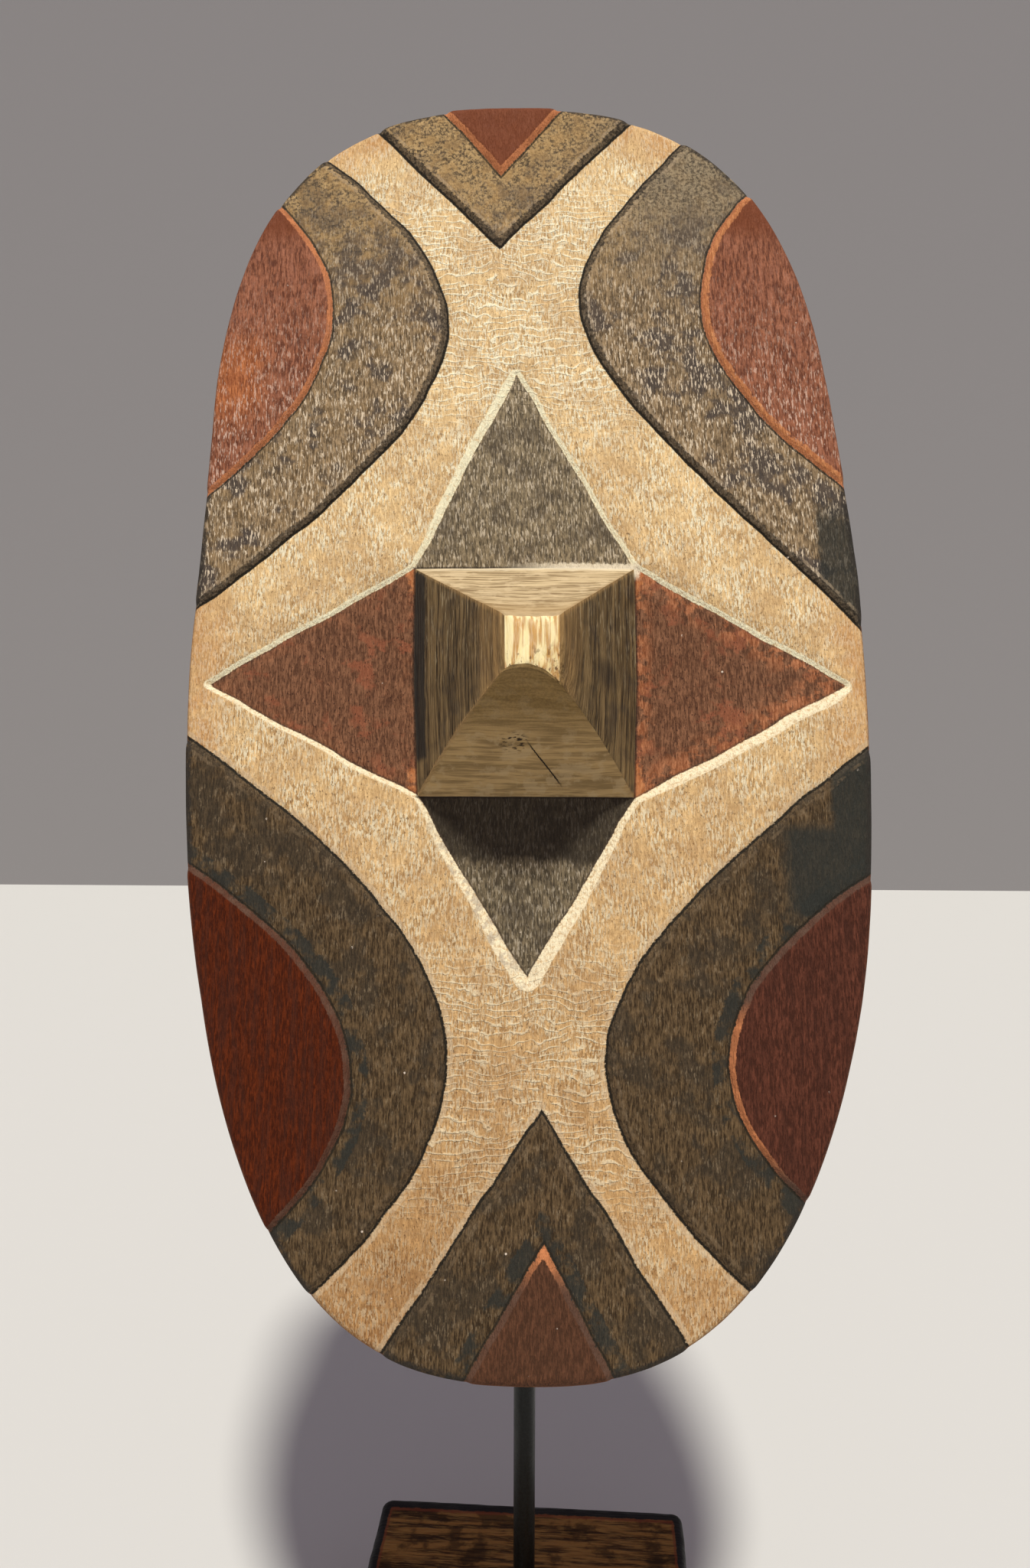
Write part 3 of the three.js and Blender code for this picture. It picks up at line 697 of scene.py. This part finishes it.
def lower_red_paint(f):
    """Deep red, fierier at the left and browner in the middle."""
    paint = grained(f, (0.05, 0.016, 0.009), (0.135, 0.043, 0.024))
    fiery = grained(f, (0.045, 0.008, 0.002), (0.125, 0.022, 0.004))
    paint = f.ramp(f.x, 10, -50, paint, fiery)
    streaky = f.dashes(f.shift(f.place, 63, 8), 3, 40, 0.1, 0.52)
    paint = f.over(paint, streaky, 0.45, (0.045, 0.016, 0.01))
    brown = grained(f, (0.063, 0.029, 0.015), (0.128, 0.056, 0.028))
    return f.over(paint, f.span(f.from_middle, 50, 40), 0.85, brown)


def star_black_paint(f):
    """Charcoal above and below the boss, duller below, and darkened right under it with painted shadow of the
    boss.
    """
    paint = grained(f, (0.085, 0.066, 0.04), (0.33, 0.255, 0.15))
    paint = f.over(paint, f.flecks, 0.8, (0.62, 0.52, 0.37))
    paint = f.over(paint, f.soot, 0.5, (0.075, 0.058, 0.04))
    paint = f.tinted(paint, f.span(f.y, 0, -60), (0.72, 0.72, 0.72))
    # A dark patch right under the boss, where its shadow falls: painted shadow, on top of the shadow that the lamp
    # casts.
    far_below = f.span(f.blend((f.y, 1), (f.clouds, 14)), -78, -84)
    sooty = f.every(f.span(f.y, -50, -58), f.inverse(far_below))
    return f.over(paint, sooty, 0.8, (0.03, 0.023, 0.016))


def star_red_paint(f):
    """Dark red at the boss's sides, rubbed orange at the right arm's edges and at the boss's corners."""
    paint = grained(f, (0.092, 0.039, 0.02), (0.265, 0.122, 0.062))
    rubbed = f.every(f.span(f.clouds, 0.52, 0.6), f.span(f.blots, 0.46, 0.56))
    paint = f.over(paint, rubbed, 0.6, (0.33, 0.105, 0.05))
    paint = f.over(paint, f.dots, 0.8, (0.045, 0.018, 0.012))
    to_edge = f.greatest(f.span(f.star, -16, -2), f.span(f.x, 118, 150), f.span(f.boss, 11, 2))
    worn = f.every(to_edge, f.span(f.patches, 0.46, 0.55), f.span(f.x, -30, 40, 0.2))
    paint = f.over(paint, worn, 0.9, grained(f, (0.25, 0.08, 0.03), (0.52, 0.21, 0.095)))
    corner_reach = f.blend((f.boss, 1), (f.patches, 24), (f.math("ABSOLUTE", f.y), -0.48))
    corners = f.span(corner_reach, -7, -9.5)
    return f.over(paint, corners, 0.9, grained(f, (0.42, 0.13, 0.04), (0.58, 0.24, 0.095)))


def star_paint(f):
    past_boss = f.plus(BOSS_HALF[0], f.ragged, 1.5)
    beside = f.math("GREATER_THAN", f.from_middle, past_boss)
    return f.mix(beside, star_black_paint(f), star_red_paint(f))


def black_slopes(f, color):
    """The slope from white down to black: sooty, darker above, where the dark is partly painted shade of the
    slopes that face away from the light; worn along its top, with a black line at the cut.
    """
    # Dark paint over the slope, much heavier above the middle: partly real dark paint, partly painted shade where
    # the upper slopes face away from the light.
    sooty = f.ramp(f.grit, 0.4, 0.6, (0.034, 0.027, 0.018), (0.15, 0.112, 0.07))
    slope = f.every(band(f, f.black, 0.4, 3.4, 2.6), f.span(f.y, -60, 40, 0.2, 0.85))
    color = f.mix(slope, color, sooty)
    worn_top = f.every(band(f, f.black, 3.6, 5.2, 1.6), f.span(f.patches, 0.42, 0.55))
    color = f.over(color, worn_top, 0.4, f.mix(f.above, (0.2, 0.14, 0.08), (0.5, 0.38, 0.24)))
    color = f.mix(band(f, f.black, -0.5, 0.8, 0.9), color, BLACK_LINE)
    cream_edge = f.every(band(f, f.black, -3, -0.5, 2), f.lower, f.span(f.patches, 0.38, 0.52))
    return f.over(color, cream_edge, 0.55, (0.66, 0.5, 0.31))


def red_slopes(f, color, red_paint):
    """The slope from black to red: worn to orange wood above, and at two tips below."""
    by_tip = f.every(f.span(f.x, 30, 60), f.span(f.y, -150, -165), f.span(f.y, -235, -215))
    low_end = f.every(f.span(f.from_middle, 60, 40), f.span(f.y, -282, -266))
    orange = f.greatest(f.above, by_tip, low_end)
    low_slope = f.ramp(f.x, -10, 10, (0.122, 0.064, 0.041), (0.115, 0.064, 0.043))
    worn_slope = f.mix(orange, low_slope, ORANGE_WOOD)
    patchy = f.ramp(f.patches, 0.36, 0.6, worn_slope, red_paint)
    color = f.mix(band(f, f.red, 0.2, 2.8), color, f.mix(0.6, patchy, worn_slope))
    wide_cut = f.every(band(f, f.red, 1.5, 4.2, 2), f.above, f.span(f.x, 20, 60),
                       f.span(f.patches, 0.36, 0.5))
    color = f.over(color, wide_cut, 0.9, grained(f, (0.42, 0.14, 0.05), (0.66, 0.28, 0.11)))
    dark_beside = f.every(band(f, f.red, -8, -0.2, 5), f.lower, f.span(f.clouds, 0.42, 0.56))
    color = f.over(color, dark_beside, 0.8, BLUE_BLACK)
    return f.over(color, band(f, f.red, -0.9, 0.1, 0.8), 0.85, BLACK_LINE)


def star_slopes(f, color):
    """The cream slope round the star, brighter above with painted light, and greyer at the left below the boss,
    with a painted shadow line along its lower edges.
    """
    cream = f.ramp(f.grit, 0.32, 0.56, (0.7, 0.5, 0.27), (1, 0.88, 0.6))
    # Above the middle the cream is painted brighter: painted light on slopes that face away from the lamp.
    cream_with_painted_light = f.ramp(f.grit, 0.3, 0.5, (0.8, 0.6, 0.33), (1, 0.95, 0.66))
    slope = f.ramp(f.y, -10, 10, cream, cream_with_painted_light)
    greyed = f.every(f.span(f.patches, 0.46, 0.58), f.span(f.x, 12, -12), f.span(f.y, -62, -80))
    slope = f.over(slope, greyed, 0.6, (0.4, 0.34, 0.27))
    share = f.every(past(f, f.star, 0.1, 1.4), f.inverse(past(f, f.star, f.slope_width, 2.4)))
    color = f.over(color, share, 0.9, slope)
    # A painted shadow line at the foot of the step, along the star's lower edges only.
    line = f.every(band(f, f.star, -0.8, 0, 0.8), f.lower)
    return f.over(color, line, 0.6, (0.07, 0.05, 0.035))


def wear(f, color):
    """At the rim, soot along the black fields and bare wood elsewhere."""
    in_black = f.every(past(f, f.black, 1.5), f.inverse(past(f, f.red, 0)))
    sooty = f.every(f.inverse(past(f, f.rim, 3.5, 6, 1.2)), in_black, f.span(f.patches, 0.38, 0.5))
    color = f.over(color, sooty, 0.85, (0.035, 0.03, 0.024))
    bare = f.every(f.inverse(past(f, f.rim, 1, 2.5, 0.6)), f.inverse(in_black))
    color = f.over(color, bare, 0.6, (0.2, 0.075, 0.03))

    # Darker in the corner round the foot of the boss, white smeared along its top edge.
    foot = f.inverse(past(f, f.boss, 0.9, 1.2, 0.5))
    color = f.over(color, foot, 0.8, (0.025, 0.017, 0.012))
    smear = f.every(f.inverse(past(f, f.boss, 2.6, 5, 0.8)), f.span(f.y, 50, 55), f.span(f.x, -15, 25))
    return f.over(color, smear, 0.85, (0.88, 0.77, 0.56))


def painted_front():
    f = front_patterns()
    crests, troughs = wavy_ripples(f)
    red_paint = f.mix(f.above, lower_red_paint(f), upper_red_paint(f))
    color = f.mix(past(f, f.star, 0), star_paint(f), chalk_paint(f, crests, troughs))
    color = f.mix(past(f, f.black, 0.3), color, black_paint(f))
    color = f.mix(past(f, f.red, 0.2), color, red_paint)
    color = red_slopes(f, black_slopes(f, color), red_paint)
    color = wear(f, star_slopes(f, color))
    specks = f.add("TexVoronoi", {"Vector": f.shift(f.place, 3, 9), "Scale": 1 / 17}, "Distance")
    light_specks = f.every(f.span(specks, 0.04, 0.024), f.span(f.grit, 0.45, 0.6))
    color = f.mix(light_specks, color, (0.8, 0.68, 0.55))

    white_crests = f.every(crests, f.inverse(past(f, f.black, 0)))
    relief = f.blend((f.strokes, 0.26), (f.fine, 0.18), (f.grit, 0.36), (white_crests, 0.35))
    return f.finish(color, f.span(f.clouds, 0.2, 0.8, 0.55, 0.8), f.bump(relief, 0.0013, 0.7))


def boss_side_wood():
    """Bare grey-brown wood with the grain running up the board."""
    f = Finish("boss_side_wood", gloss=0.22)
    place = f.read("place")
    x, y, z = f.split(place)
    hip = f.split(f.read("edges"))[1]
    strokes = f.dashes(place, 1.5, 34, 0.1)
    fine = f.dashes(f.shift(place, 9, 20), 0.8, 18, 0.12)
    bands = f.noise(f.stretch(place, 1, 0.035), 5, 3, 0.6)
    clouds = f.noise(f.shift(place, 60, 20), 12)
    grain = f.blend((strokes, 0.55), (fine, 0.45))
    left = f.span(x, 4, -4)
    dark = f.mix(left, (0.03, 0.019, 0.008), (0.036, 0.023, 0.01))
    light = f.mix(left, (0.215, 0.142, 0.058), (0.222, 0.148, 0.064))
    color = f.mix(grain, dark, light)
    color = f.over(color, f.span(bands, 0.5, 0.6), 0.5, (0.3, 0.2, 0.085))
    color = f.over(color, f.span(clouds, 0.5, 0.7), 0.5, (0.042, 0.033, 0.024))
    flecks = f.dashes(f.shift(place, 2, 70), 1, 9, 0.05, 0.61)
    color = f.over(color, f.every(flecks, f.span(y, -20, 20, 0.2)), 0.6, (0.42, 0.33, 0.19))
    reach = f.plus(z, clouds, 4)
    strip = f.every(f.span(reach, 10.5, 9), left, f.span(y, -42, -38))
    color = f.over(color, strip, 0.88, (0.02, 0.019, 0.017))
    smudge_middle = f.shift(f.stretch(place, 1 / 6, 1 / 9, 0), -38 / 6, 4 / 9)
    smudge = f.span(f.length(smudge_middle), 1.2, 0.3)
    color = f.over(color, smudge, 0.6, (0.015, 0.013, 0.012))
    edge = f.span(f.plus(hip, fine, -1), 2.6, 0.4)
    color = f.over(color, edge, 0.7, (0.38, 0.235, 0.09))
    near_top = f.every(f.span(z, 42, 63), f.span(bands, 0.36, 0.56, 0.4))
    color = f.over(color, near_top, 0.7, (0.44, 0.26, 0.095))
    relief = f.blend((strokes, 0.5), (fine, 0.3), (bands, 0.7))
    return f.finish(color, 0.7, f.bump(relief, 0.0016, 0.7))


def boss_end_wood():
    """End grain above and below the boss: fine rings, worm holes and a crack on the lower face, with painted shade
    darkening the lower face, most of all partway up it.
    """
    f = Finish("boss_end_wood", gloss=0.22)
    place = f.read("place")
    x, y, z = f.split(place)
    hip = f.split(f.read("edges"))[1]
    rings = f.noise(f.stretch(place, 0.07, 0.3, 1), 1.8, 3, 0.6, 0.3)
    clouds = f.noise(f.shift(place, 10, 80), 9, 4, 0.6)
    grit = f.noise(place, 1.2, 3, 0.7)
    below = f.span(y, 5, -5)
    color = f.ramp(rings, 0.4, 0.6, (0.27, 0.185, 0.09), (0.6, 0.46, 0.26))
    color = f.over(color, f.span(clouds, 0.48, 0.62), 0.45, (0.7, 0.55, 0.33))
    near_summit = f.span(z, 40, 62)
    color = f.over(color, near_summit, 0.45, (0.42, 0.27, 0.11))
    # The lower face has a darker copy of the end grain, which is painted shade, and is darker still from 22 to 52
    # mm up.
    shaded_lower_grain = f.ramp(rings, 0.38, 0.62, (0.235, 0.155, 0.064), (0.43, 0.29, 0.125))
    shaded_lower_grain = f.over(shaded_lower_grain, f.span(clouds, 0.5, 0.62), 0.5, (0.46, 0.34, 0.18))
    arch_shade_grain = f.ramp(grit, 0.4, 0.6, (0.12, 0.07, 0.018), (0.2, 0.122, 0.036))
    shaded_lower_grain = f.over(shaded_lower_grain, f.span(z, 22, 52), 0.72, arch_shade_grain)
    color = f.mix(below, color, shaded_lower_grain)
    worm_place = f.shift(f.stretch(place, 1 / 7, 1, 1 / 5), 5 / 7, 0, -27 / 5)
    near_worms = f.span(f.length(f.stretch(worm_place, 1, 0, 1)), 1.3, 0.4)
    pits = f.noise(f.stretch(place, 0.5, 1, 1), 1.6, 2)
    holes = f.every(f.span(pits, 0.55, 0.62), near_worms, below)
    color = f.mix(holes, color, (0.03, 0.018, 0.01))
    crack_line = f.blend((x, 1), (z, 0.75), (grit, -1.2))
    on_line = f.span(f.away(crack_line, 21), 0.55, 0.2)
    crack = f.every(on_line, f.span(x, 0, 4), f.span(x, 19, 15), below)
    color = f.mix(crack, color, (0.02, 0.013, 0.008))
    reach = f.plus(z, clouds, 6)
    smear = f.every(f.span(reach, 6.5, 4), f.inverse(below), f.span(x, -52, 10, 0.5))
    color = f.over(color, smear, 0.75, (0.8, 0.68, 0.46))
    edge = f.span(f.plus(hip, grit, -1.8), 1.8, 0)
    color = f.over(color, edge, 0.45, (0.34, 0.215, 0.095))
    relief = f.math("SUBTRACT", rings, f.math("ADD", holes, crack))
    return f.finish(color, 0.72, f.bump(relief, 0.0011, 0.7))


def summit_wood():
    """The worn top of the boss: fresh yellow wood in streaks, darker towards its lower right corner with painted
    shade where the summit rounds over.
    """
    f = Finish("summit_wood", gloss=0.3)
    place = f.read("place")
    x, y, _ = f.split(place)
    streaks = f.noise(f.stretch(place, 1, 0.05), 2.4, 2, 0.6)
    fine = f.dashes(place, 0.8, 8, 0.12)
    pits = f.noise(f.stretch(place, 1, 0.5), 2, 3, 0.6)
    color = f.ramp(streaks, 0.4, 0.54, (0.6, 0.33, 0.095), (1, 0.83, 0.42))
    color = f.over(color, fine, 0.22, (0.98, 0.88, 0.66))
    # Painted shade towards the lower right corner, where the summit rounds over and turns from the light.
    lower_right_shade = f.span(f.blend((x, 0.5), (y, -0.8)), 7, 18)
    color = f.over(color, lower_right_shade, 0.35, (0.66, 0.36, 0.1))
    pitted = f.every(f.span(pits, 0.56, 0.63), f.span(y, 2, -8))
    color = f.over(color, pitted, 0.85, (0.16, 0.075, 0.025))
    return f.finish(color, 0.55, f.bump(f.blend((streaks, 1), (fine, 0.2)), 0.0014, 0.5))


def bare_back_wood():
    """The rim, the back, the hollow and the grip: dark handled wood with the marks of the adze."""
    f = Finish("bare_back_wood", gloss=0.3)
    place = f.read("place")
    fibre = f.noise(f.stretch(place, 1, 0.05), 1.1, 4, 0.6)
    bands = f.noise(f.stretch(place, 1, 0.04), 8, 3, 0.55)
    clouds = f.noise(place, 40, 4, 0.6)
    color = f.ramp(fibre, 0.35, 0.65, (0.11, 0.055, 0.024), (0.25, 0.135, 0.06))
    color = f.over(color, f.span(bands, 0.42, 0.66), 0.5, (0.34, 0.2, 0.095))
    color = f.over(color, f.span(clouds, 0.5, 0.7), 0.55, (0.07, 0.036, 0.018))
    cells = {"Vector": f.stretch(place, 1, 0.36), "Scale": 1 / 11, "Smoothness": 0.7}
    scoops = f.add("TexVoronoi", cells, "Distance", feature="SMOOTH_F1")
    color = f.over(color, f.span(scoops, 0.45, 0.75), 0.25, (0.4, 0.26, 0.14))
    relief = f.blend((scoops, 0.9), (fibre, 0.25))
    return f.finish(color, f.span(clouds, 0.3, 0.7, 0.45, 0.65), f.bump(relief, 0.002, 0.6))


def grip_mesh():
    """The carved grip across the hollow, as a rounded bar that sinks into the back at both ends."""
    across, round_steps = 80, 40
    x = np.linspace(-GRIP_REACH, GRIP_REACH, across)
    rise = held((GRIP_REACH - np.abs(x)) / (GRIP_REACH - GRIP_FLAT))
    rise = rise**2 * (3 - 2 * rise)
    at_ends = -THICKNESS - 1
    deep = at_ends + (GRIP_BACK - at_ends) * rise
    half_depth = (GRIP_FRONT - deep) / 2
    middle = (GRIP_FRONT + deep) / 2
    turn = np.linspace(0, 2 * math.pi, round_steps, endpoint=False)
    swell = 1 - 0.12 * np.cos(math.pi * x / GRIP_REACH)
    y = GRIP_HALF * swell[:, None] * np.sign(np.cos(turn)) * np.abs(np.cos(turn)) ** 0.8
    z = middle[:, None] + half_depth[:, None] * np.sign(np.sin(turn)) * np.abs(np.sin(turn)) ** 0.8
    points = np.stack([np.broadcast_to(x[:, None], y.shape), y, z], axis=-1).reshape(-1, 3)
    mesh = ringed_mesh("carved_grip", points, round_steps)
    mesh.flip_normals()
    store(mesh, "place", *points.T)
    return mesh


def new_object(name, data):
    made = bpy.data.objects.new(name, data)
    bpy.context.scene.collection.objects.link(made)
    return made


def make_piece(name, mesh, body, materials, matrix):
    mesh.transform(matrix)
    for material in materials:
        mesh.materials.append(material)
    piece = new_object(name, mesh)
    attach(piece, body)
    return piece


def make_board():
    place = board_matrix()
    back = bare_back_wood()
    surfaces = [painted_front(), boss_side_wood(), boss_end_wood(), summit_wood(), back]
    board = make_piece("carved_board", board_mesh(), "shield", surfaces, place)
    grip = make_piece("carved_grip", grip_mesh(), "shield", [back], place)
    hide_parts("shield_board")
    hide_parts("shield_board")


# The stand.
def local_place(f):
    """Object coordinates in millimetres: a CAD node's origin is the frame's."""
    return f.stretch(f.add("TexCoord", output="Object"), 1000, 1000, 1000)


def block_wood():
    """Old brown wood with dark streaks across, and black stained edges with a thin red line inside."""
    f = Finish("block_wood", gloss=0.1)
    place = f.read("place")
    edge = f.split(f.read("edges"))[0]
    streaks = f.noise(f.stretch(place, 0.07, 1, 1), 3.2, 4, 0.62)
    fine = f.noise(f.stretch(place, 0.12, 1, 1), 1.2, 3, 0.6)
    clouds = f.noise(place, 22, 4, 0.6)
    grit = f.noise(place, 3, 3, 0.6)
    color = f.ramp(streaks, 0.4, 0.6, (0.05, 0.018, 0.004), (0.33, 0.155, 0.04))
    color = f.over(color, f.span(fine, 0.48, 0.62), 0.5, (0.4, 0.215, 0.06))
    color = f.over(color, f.span(clouds, 0.52, 0.62), 0.7, (0.03, 0.013, 0.005))
    inset = f.math("ADD", edge, f.scaled(f.math("SUBTRACT", grit, 0.5), 1.6))
    line = f.every(f.span(inset, 5.2, 5.9), f.span(inset, 7.4, 6.6))
    color = f.over(color, line, 0.7, (0.22, 0.05, 0.022))
    color = f.ramp(inset, 5.9, 5.2, color, (0.016, 0.014, 0.015))
    normal = f.bump(f.plus(streaks, fine, 0.5), 0.0012, 0.6)
    return f.finish(color, f.span(clouds, 0.3, 0.7, 0.42, 0.62), normal)


def rounded_square(half_x, half_y, corner, count):
    """Points round a rectangle with round corners, evenly spread."""
    straight_x, straight_y = half_x - corner, half_y - corner
    arc = [(corner * math.cos(a), corner * math.sin(a)) for a in np.linspace(0, math.pi / 2, 7)]
    points = []
    for sx, sy, quarter in ((1, 1, 0), (-1, 1, 1), (-1, -1, 2), (1, -1, 3)):
        turned = Matrix.Rotation(quarter * math.pi / 2, 2)
        for ax, ay in arc:
            spot = turned @ Vector((ax, ay))
            points.append((sx * straight_x + spot.x, sy * straight_y + spot.y))
    points = np.array(points + points[:1])
    run = np.append(0, np.cumsum(np.hypot(*np.diff(points, axis=0).T)))
    even = np.linspace(0, run[-1], count, endpoint=False)
    return np.stack([np.interp(even, run, points[:, i]) for i in (0, 1)])


def block_profile(foot, top):
    """How far in, and how high, each ring round the block is, from its foot to the middle of its top."""
    profile = []
    for turn in np.linspace(0, math.pi / 2, 5):
        inset, lift = BLOCK_FOOT_ROUND * (1 - math.sin(turn)), BLOCK_FOOT_ROUND * (1 - math.cos(turn))
        profile.append((inset, foot + lift))
    for height in np.linspace(foot + BLOCK_FOOT_ROUND, top - BLOCK_EDGE_DOWN, 14)[1:]:
        profile.append((0, height))
    for turn in np.linspace(0, math.pi / 2, 9)[1:]:
        inset, lift = BLOCK_EDGE_IN * (1 - math.cos(turn)), BLOCK_EDGE_DOWN * math.sin(turn)
        profile.append((inset, top - BLOCK_EDGE_DOWN + lift))
    for inset in np.linspace(BLOCK_EDGE_IN, 70, 34)[1:]:
        profile.append((inset, top))
    return profile


def block_mesh():
    """The base block with rounded, knocked edges, before it is turned."""
    low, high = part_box("base_block")
    foot, top = low.z / MM, high.z / MM
    around, even_inset = 560, 6  # further in, the rings shrink towards the middle instead
    ring = rounded_square(*BLOCK_HALF, BLOCK_CORNER, around)
    normal = outward(ring)
    rings = []
    for inset, height in block_profile(foot, top):
        x, y = ring - normal * min(inset, even_inset)
        if inset > even_inset:
            x, y = (ring - normal * even_inset) * (1 - (inset - even_inset) / 80)
        dent = waver(x, y + height, 0.28, 6) + waver(y, x + 2 * height, 0.2, 2.3)
        worn = 0.5 * held(waver(x, y, 2, 13) - 0.6) if 0 < inset < 5 else 0
        x, y = x - normal[0] * (dent + worn), y - normal[1] * (dent + worn)
        z = np.full(around, height) + (dent * 0.8 if height >= top - 0.01 else 0)
        rings.append(np.stack([x, y, z], axis=1))
    points = np.concatenate(rings)
    mesh = ringed_mesh("worn_block", points, around, smooth_ends=False)
    mesh.flip_normals()
    x, y, z = points.T
    store(mesh, "place", x, y, z)
    from_side = np.maximum(BLOCK_HALF[0] - np.abs(x), 0)
    from_end = np.maximum(BLOCK_HALF[1] - np.abs(y), 0) * 0.62  # the dark border is broader there
    on_side = z < top - BLOCK_EDGE_DOWN - 0.1
    edge = np.where(on_side, top - z, np.minimum(from_side, from_end))
    store(mesh, "edges", edge, z, z)
    return mesh


def make_block():
    """In the place and at the turn of the CAD block."""
    turned = Matrix.Rotation(math.radians(BLOCK_TURN), 4, "Z")
    block = make_piece("worn_block", block_mesh(), "base", [block_wood()], turned)
    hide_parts("base_block")


def black_steel():
    f = Finish("black_steel", gloss=0.28, metallic=0.15)
    place = local_place(f)
    grit = f.noise(place, 1.4, 3, 0.6)
    drawn = f.noise(f.stretch(place, 1, 1, 0.05), 1.2, 3, 0.6)
    scuffs = f.noise(f.stretch(place, 1, 1, 0.3), 7, 4, 0.7)
    color = f.ramp(grit, 0.3, 0.7, (0.003, 0.004, 0.0035), (0.009, 0.0115, 0.0105))
    color = f.over(color, f.span(scuffs, 0.64, 0.74), 0.4, (0.034, 0.036, 0.033))
    roughness = f.span(f.blend((scuffs, 0.5), (drawn, 0.5)), 0.3, 0.7, 0.28, 0.5)
    return f.finish(color, roughness, f.bump(grit, 0.0004, 0.35))


def bright_steel():
    f = Finish("bright_steel", metallic=1)
    place = local_place(f)
    brushed = f.noise(f.stretch(place, 1, 1, 0.08), 0.6, 3, 0.6)
    clouds = f.noise(place, 6)
    color = f.ramp(clouds, 0.35, 0.7, (0.48, 0.47, 0.44), (0.62, 0.61, 0.59))
    color = f.over(color, f.span(clouds, 0.6, 0.75), 0.5, (0.3, 0.26, 0.2))
    return f.finish(color, f.span(brushed, 0.3, 0.7, 0.24, 0.45), f.bump(brushed, 0.0003, 0.3))


def rubber():
    f = Finish("rubber", gloss=0.35)
    place = local_place(f)
    grit = f.noise(place, 0.8, 4, 0.7)
    dust = f.noise(place, 9)
    color = f.ramp(grit, 0.3, 0.7, (0.014, 0.014, 0.013), (0.032, 0.031, 0.029))
    color = f.over(color, f.span(dust, 0.55, 0.7), 0.4, (0.07, 0.066, 0.06))
    return f.finish(color, 0.82, f.bump(grit, 0.0004, 0.5))


def finish_cad_nodes():
    """The hardware keeps its CAD shape, with its edges eased and finished metal and rubber."""
    finishes = {"black_steel": black_steel(), "bright_steel": bright_steel(), "rubber": rubber()}
    for part in frame["record"]["subparts"]:
        finish = finishes.get(part["material_slot"])
        if finish is None:
            continue
        node = frame["nodes"][part["node"]]
        for index in range(len(node.material_slots)):
            node.material_slots[index].link = "OBJECT"
            node.material_slots[index].material = finish
        ease = node.modifiers.new("eased_edges", "BEVEL")
        ease.width = 0.35 * MM
        ease.segments = 2
        ease.limit_method = "ANGLE"
        ease.angle_limit = math.radians(40)


# The stage: a plain pale floor, a plain grey backdrop, and soft light from above.
def stage_box(name, low, high, material):
    """A box from its low corner to its high one."""
    ring = [(low[0], low[1]), (high[0], low[1]), (high[0], high[1]), (low[0], high[1])]
    points = [(x, y, z) for z in (high[2], low[2]) for x, y in ring]
    faces = [(0, 1, 2, 3), (7, 6, 5, 4), (0, 4, 5, 1), (1, 5, 6, 2), (2, 6, 7, 3), (3, 7, 4, 0)]
    mesh = bpy.data.meshes.new(name)
    mesh.from_pydata(points, [], faces)
    mesh.materials.append(material)
    new_object(name, mesh)


def make_stage():
    f = Finish("pale_floor", gloss=0.2)
    pale = f.finish((0.62, 0.615, 0.59), 0.8)
    low_corner = (-STAGE_REACH, -STAGE_REACH, -STAGE_DEPTH)
    stage_box("floor", low_corner, (STAGE_REACH, BACKDROP_AT, 0), pale)

    f = Finish("grey_backdrop", gloss=0.0)
    grey = f.finish((0.285, 0.275, 0.273), 1.0)
    low_corner = (-STAGE_REACH, BACKDROP_AT, -STAGE_DEPTH)
    stage_box("backdrop", low_corner, (STAGE_REACH, BACKDROP_AT + 0.1, STAGE_REACH), grey)

    world = bpy.data.worlds.new("room")
    bpy.context.scene.world = world
    world.use_nodes = True
    background = world.node_tree.nodes["Background"]
    background.inputs["Color"].default_value = (0.262, 0.232, 0.29, 1)
    background.inputs["Strength"].default_value = 1.0

    height_angle, side_angle = math.radians(LAMP_UP), math.radians(LAMP_RIGHT)
    toward = Vector((
        math.cos(height_angle) * math.sin(side_angle),
        -math.cos(height_angle) * math.cos(side_angle),
        math.sin(height_angle),
    ))
    lamp_data = bpy.data.lights.new("lamp", "SUN")
    lamp_data.energy = 3.45
    lamp_data.angle = math.radians(LAMP_SPREAD)
    lamp_data.color = (1.0, 0.975, 0.9)
    lamp = new_object("lamp", lamp_data)
    lamp.location = toward * 3
    lamp.rotation_euler = toward.to_track_quat("Z", "Y").to_euler()


def make_camera():
    """In front of the board, about level with the boss, looking slightly down."""
    data = bpy.data.cameras.new("camera")
    data.sensor_fit = "AUTO"
    data.sensor_width = 36
    data.lens = 26.0
    camera = new_object("camera", data)
    down, left, roll = (math.radians(turn) for turn in (CAMERA_DOWN, CAMERA_LEFT, CAMERA_ROLL))
    camera.matrix_world = (
        Matrix.Translation(CAMERA_PLACE)
        @ Matrix.Rotation(left, 4, "Z")
        @ Matrix.Rotation(math.pi / 2 - down, 4, "X")
        @ Matrix.Rotation(roll, 4, "Z")
    )
    bpy.context.scene.camera = camera


bpy.context.scene.view_settings.view_transform = "Standard"
make_camera()
make_board()
make_block()
finish_cad_nodes()
make_stage()
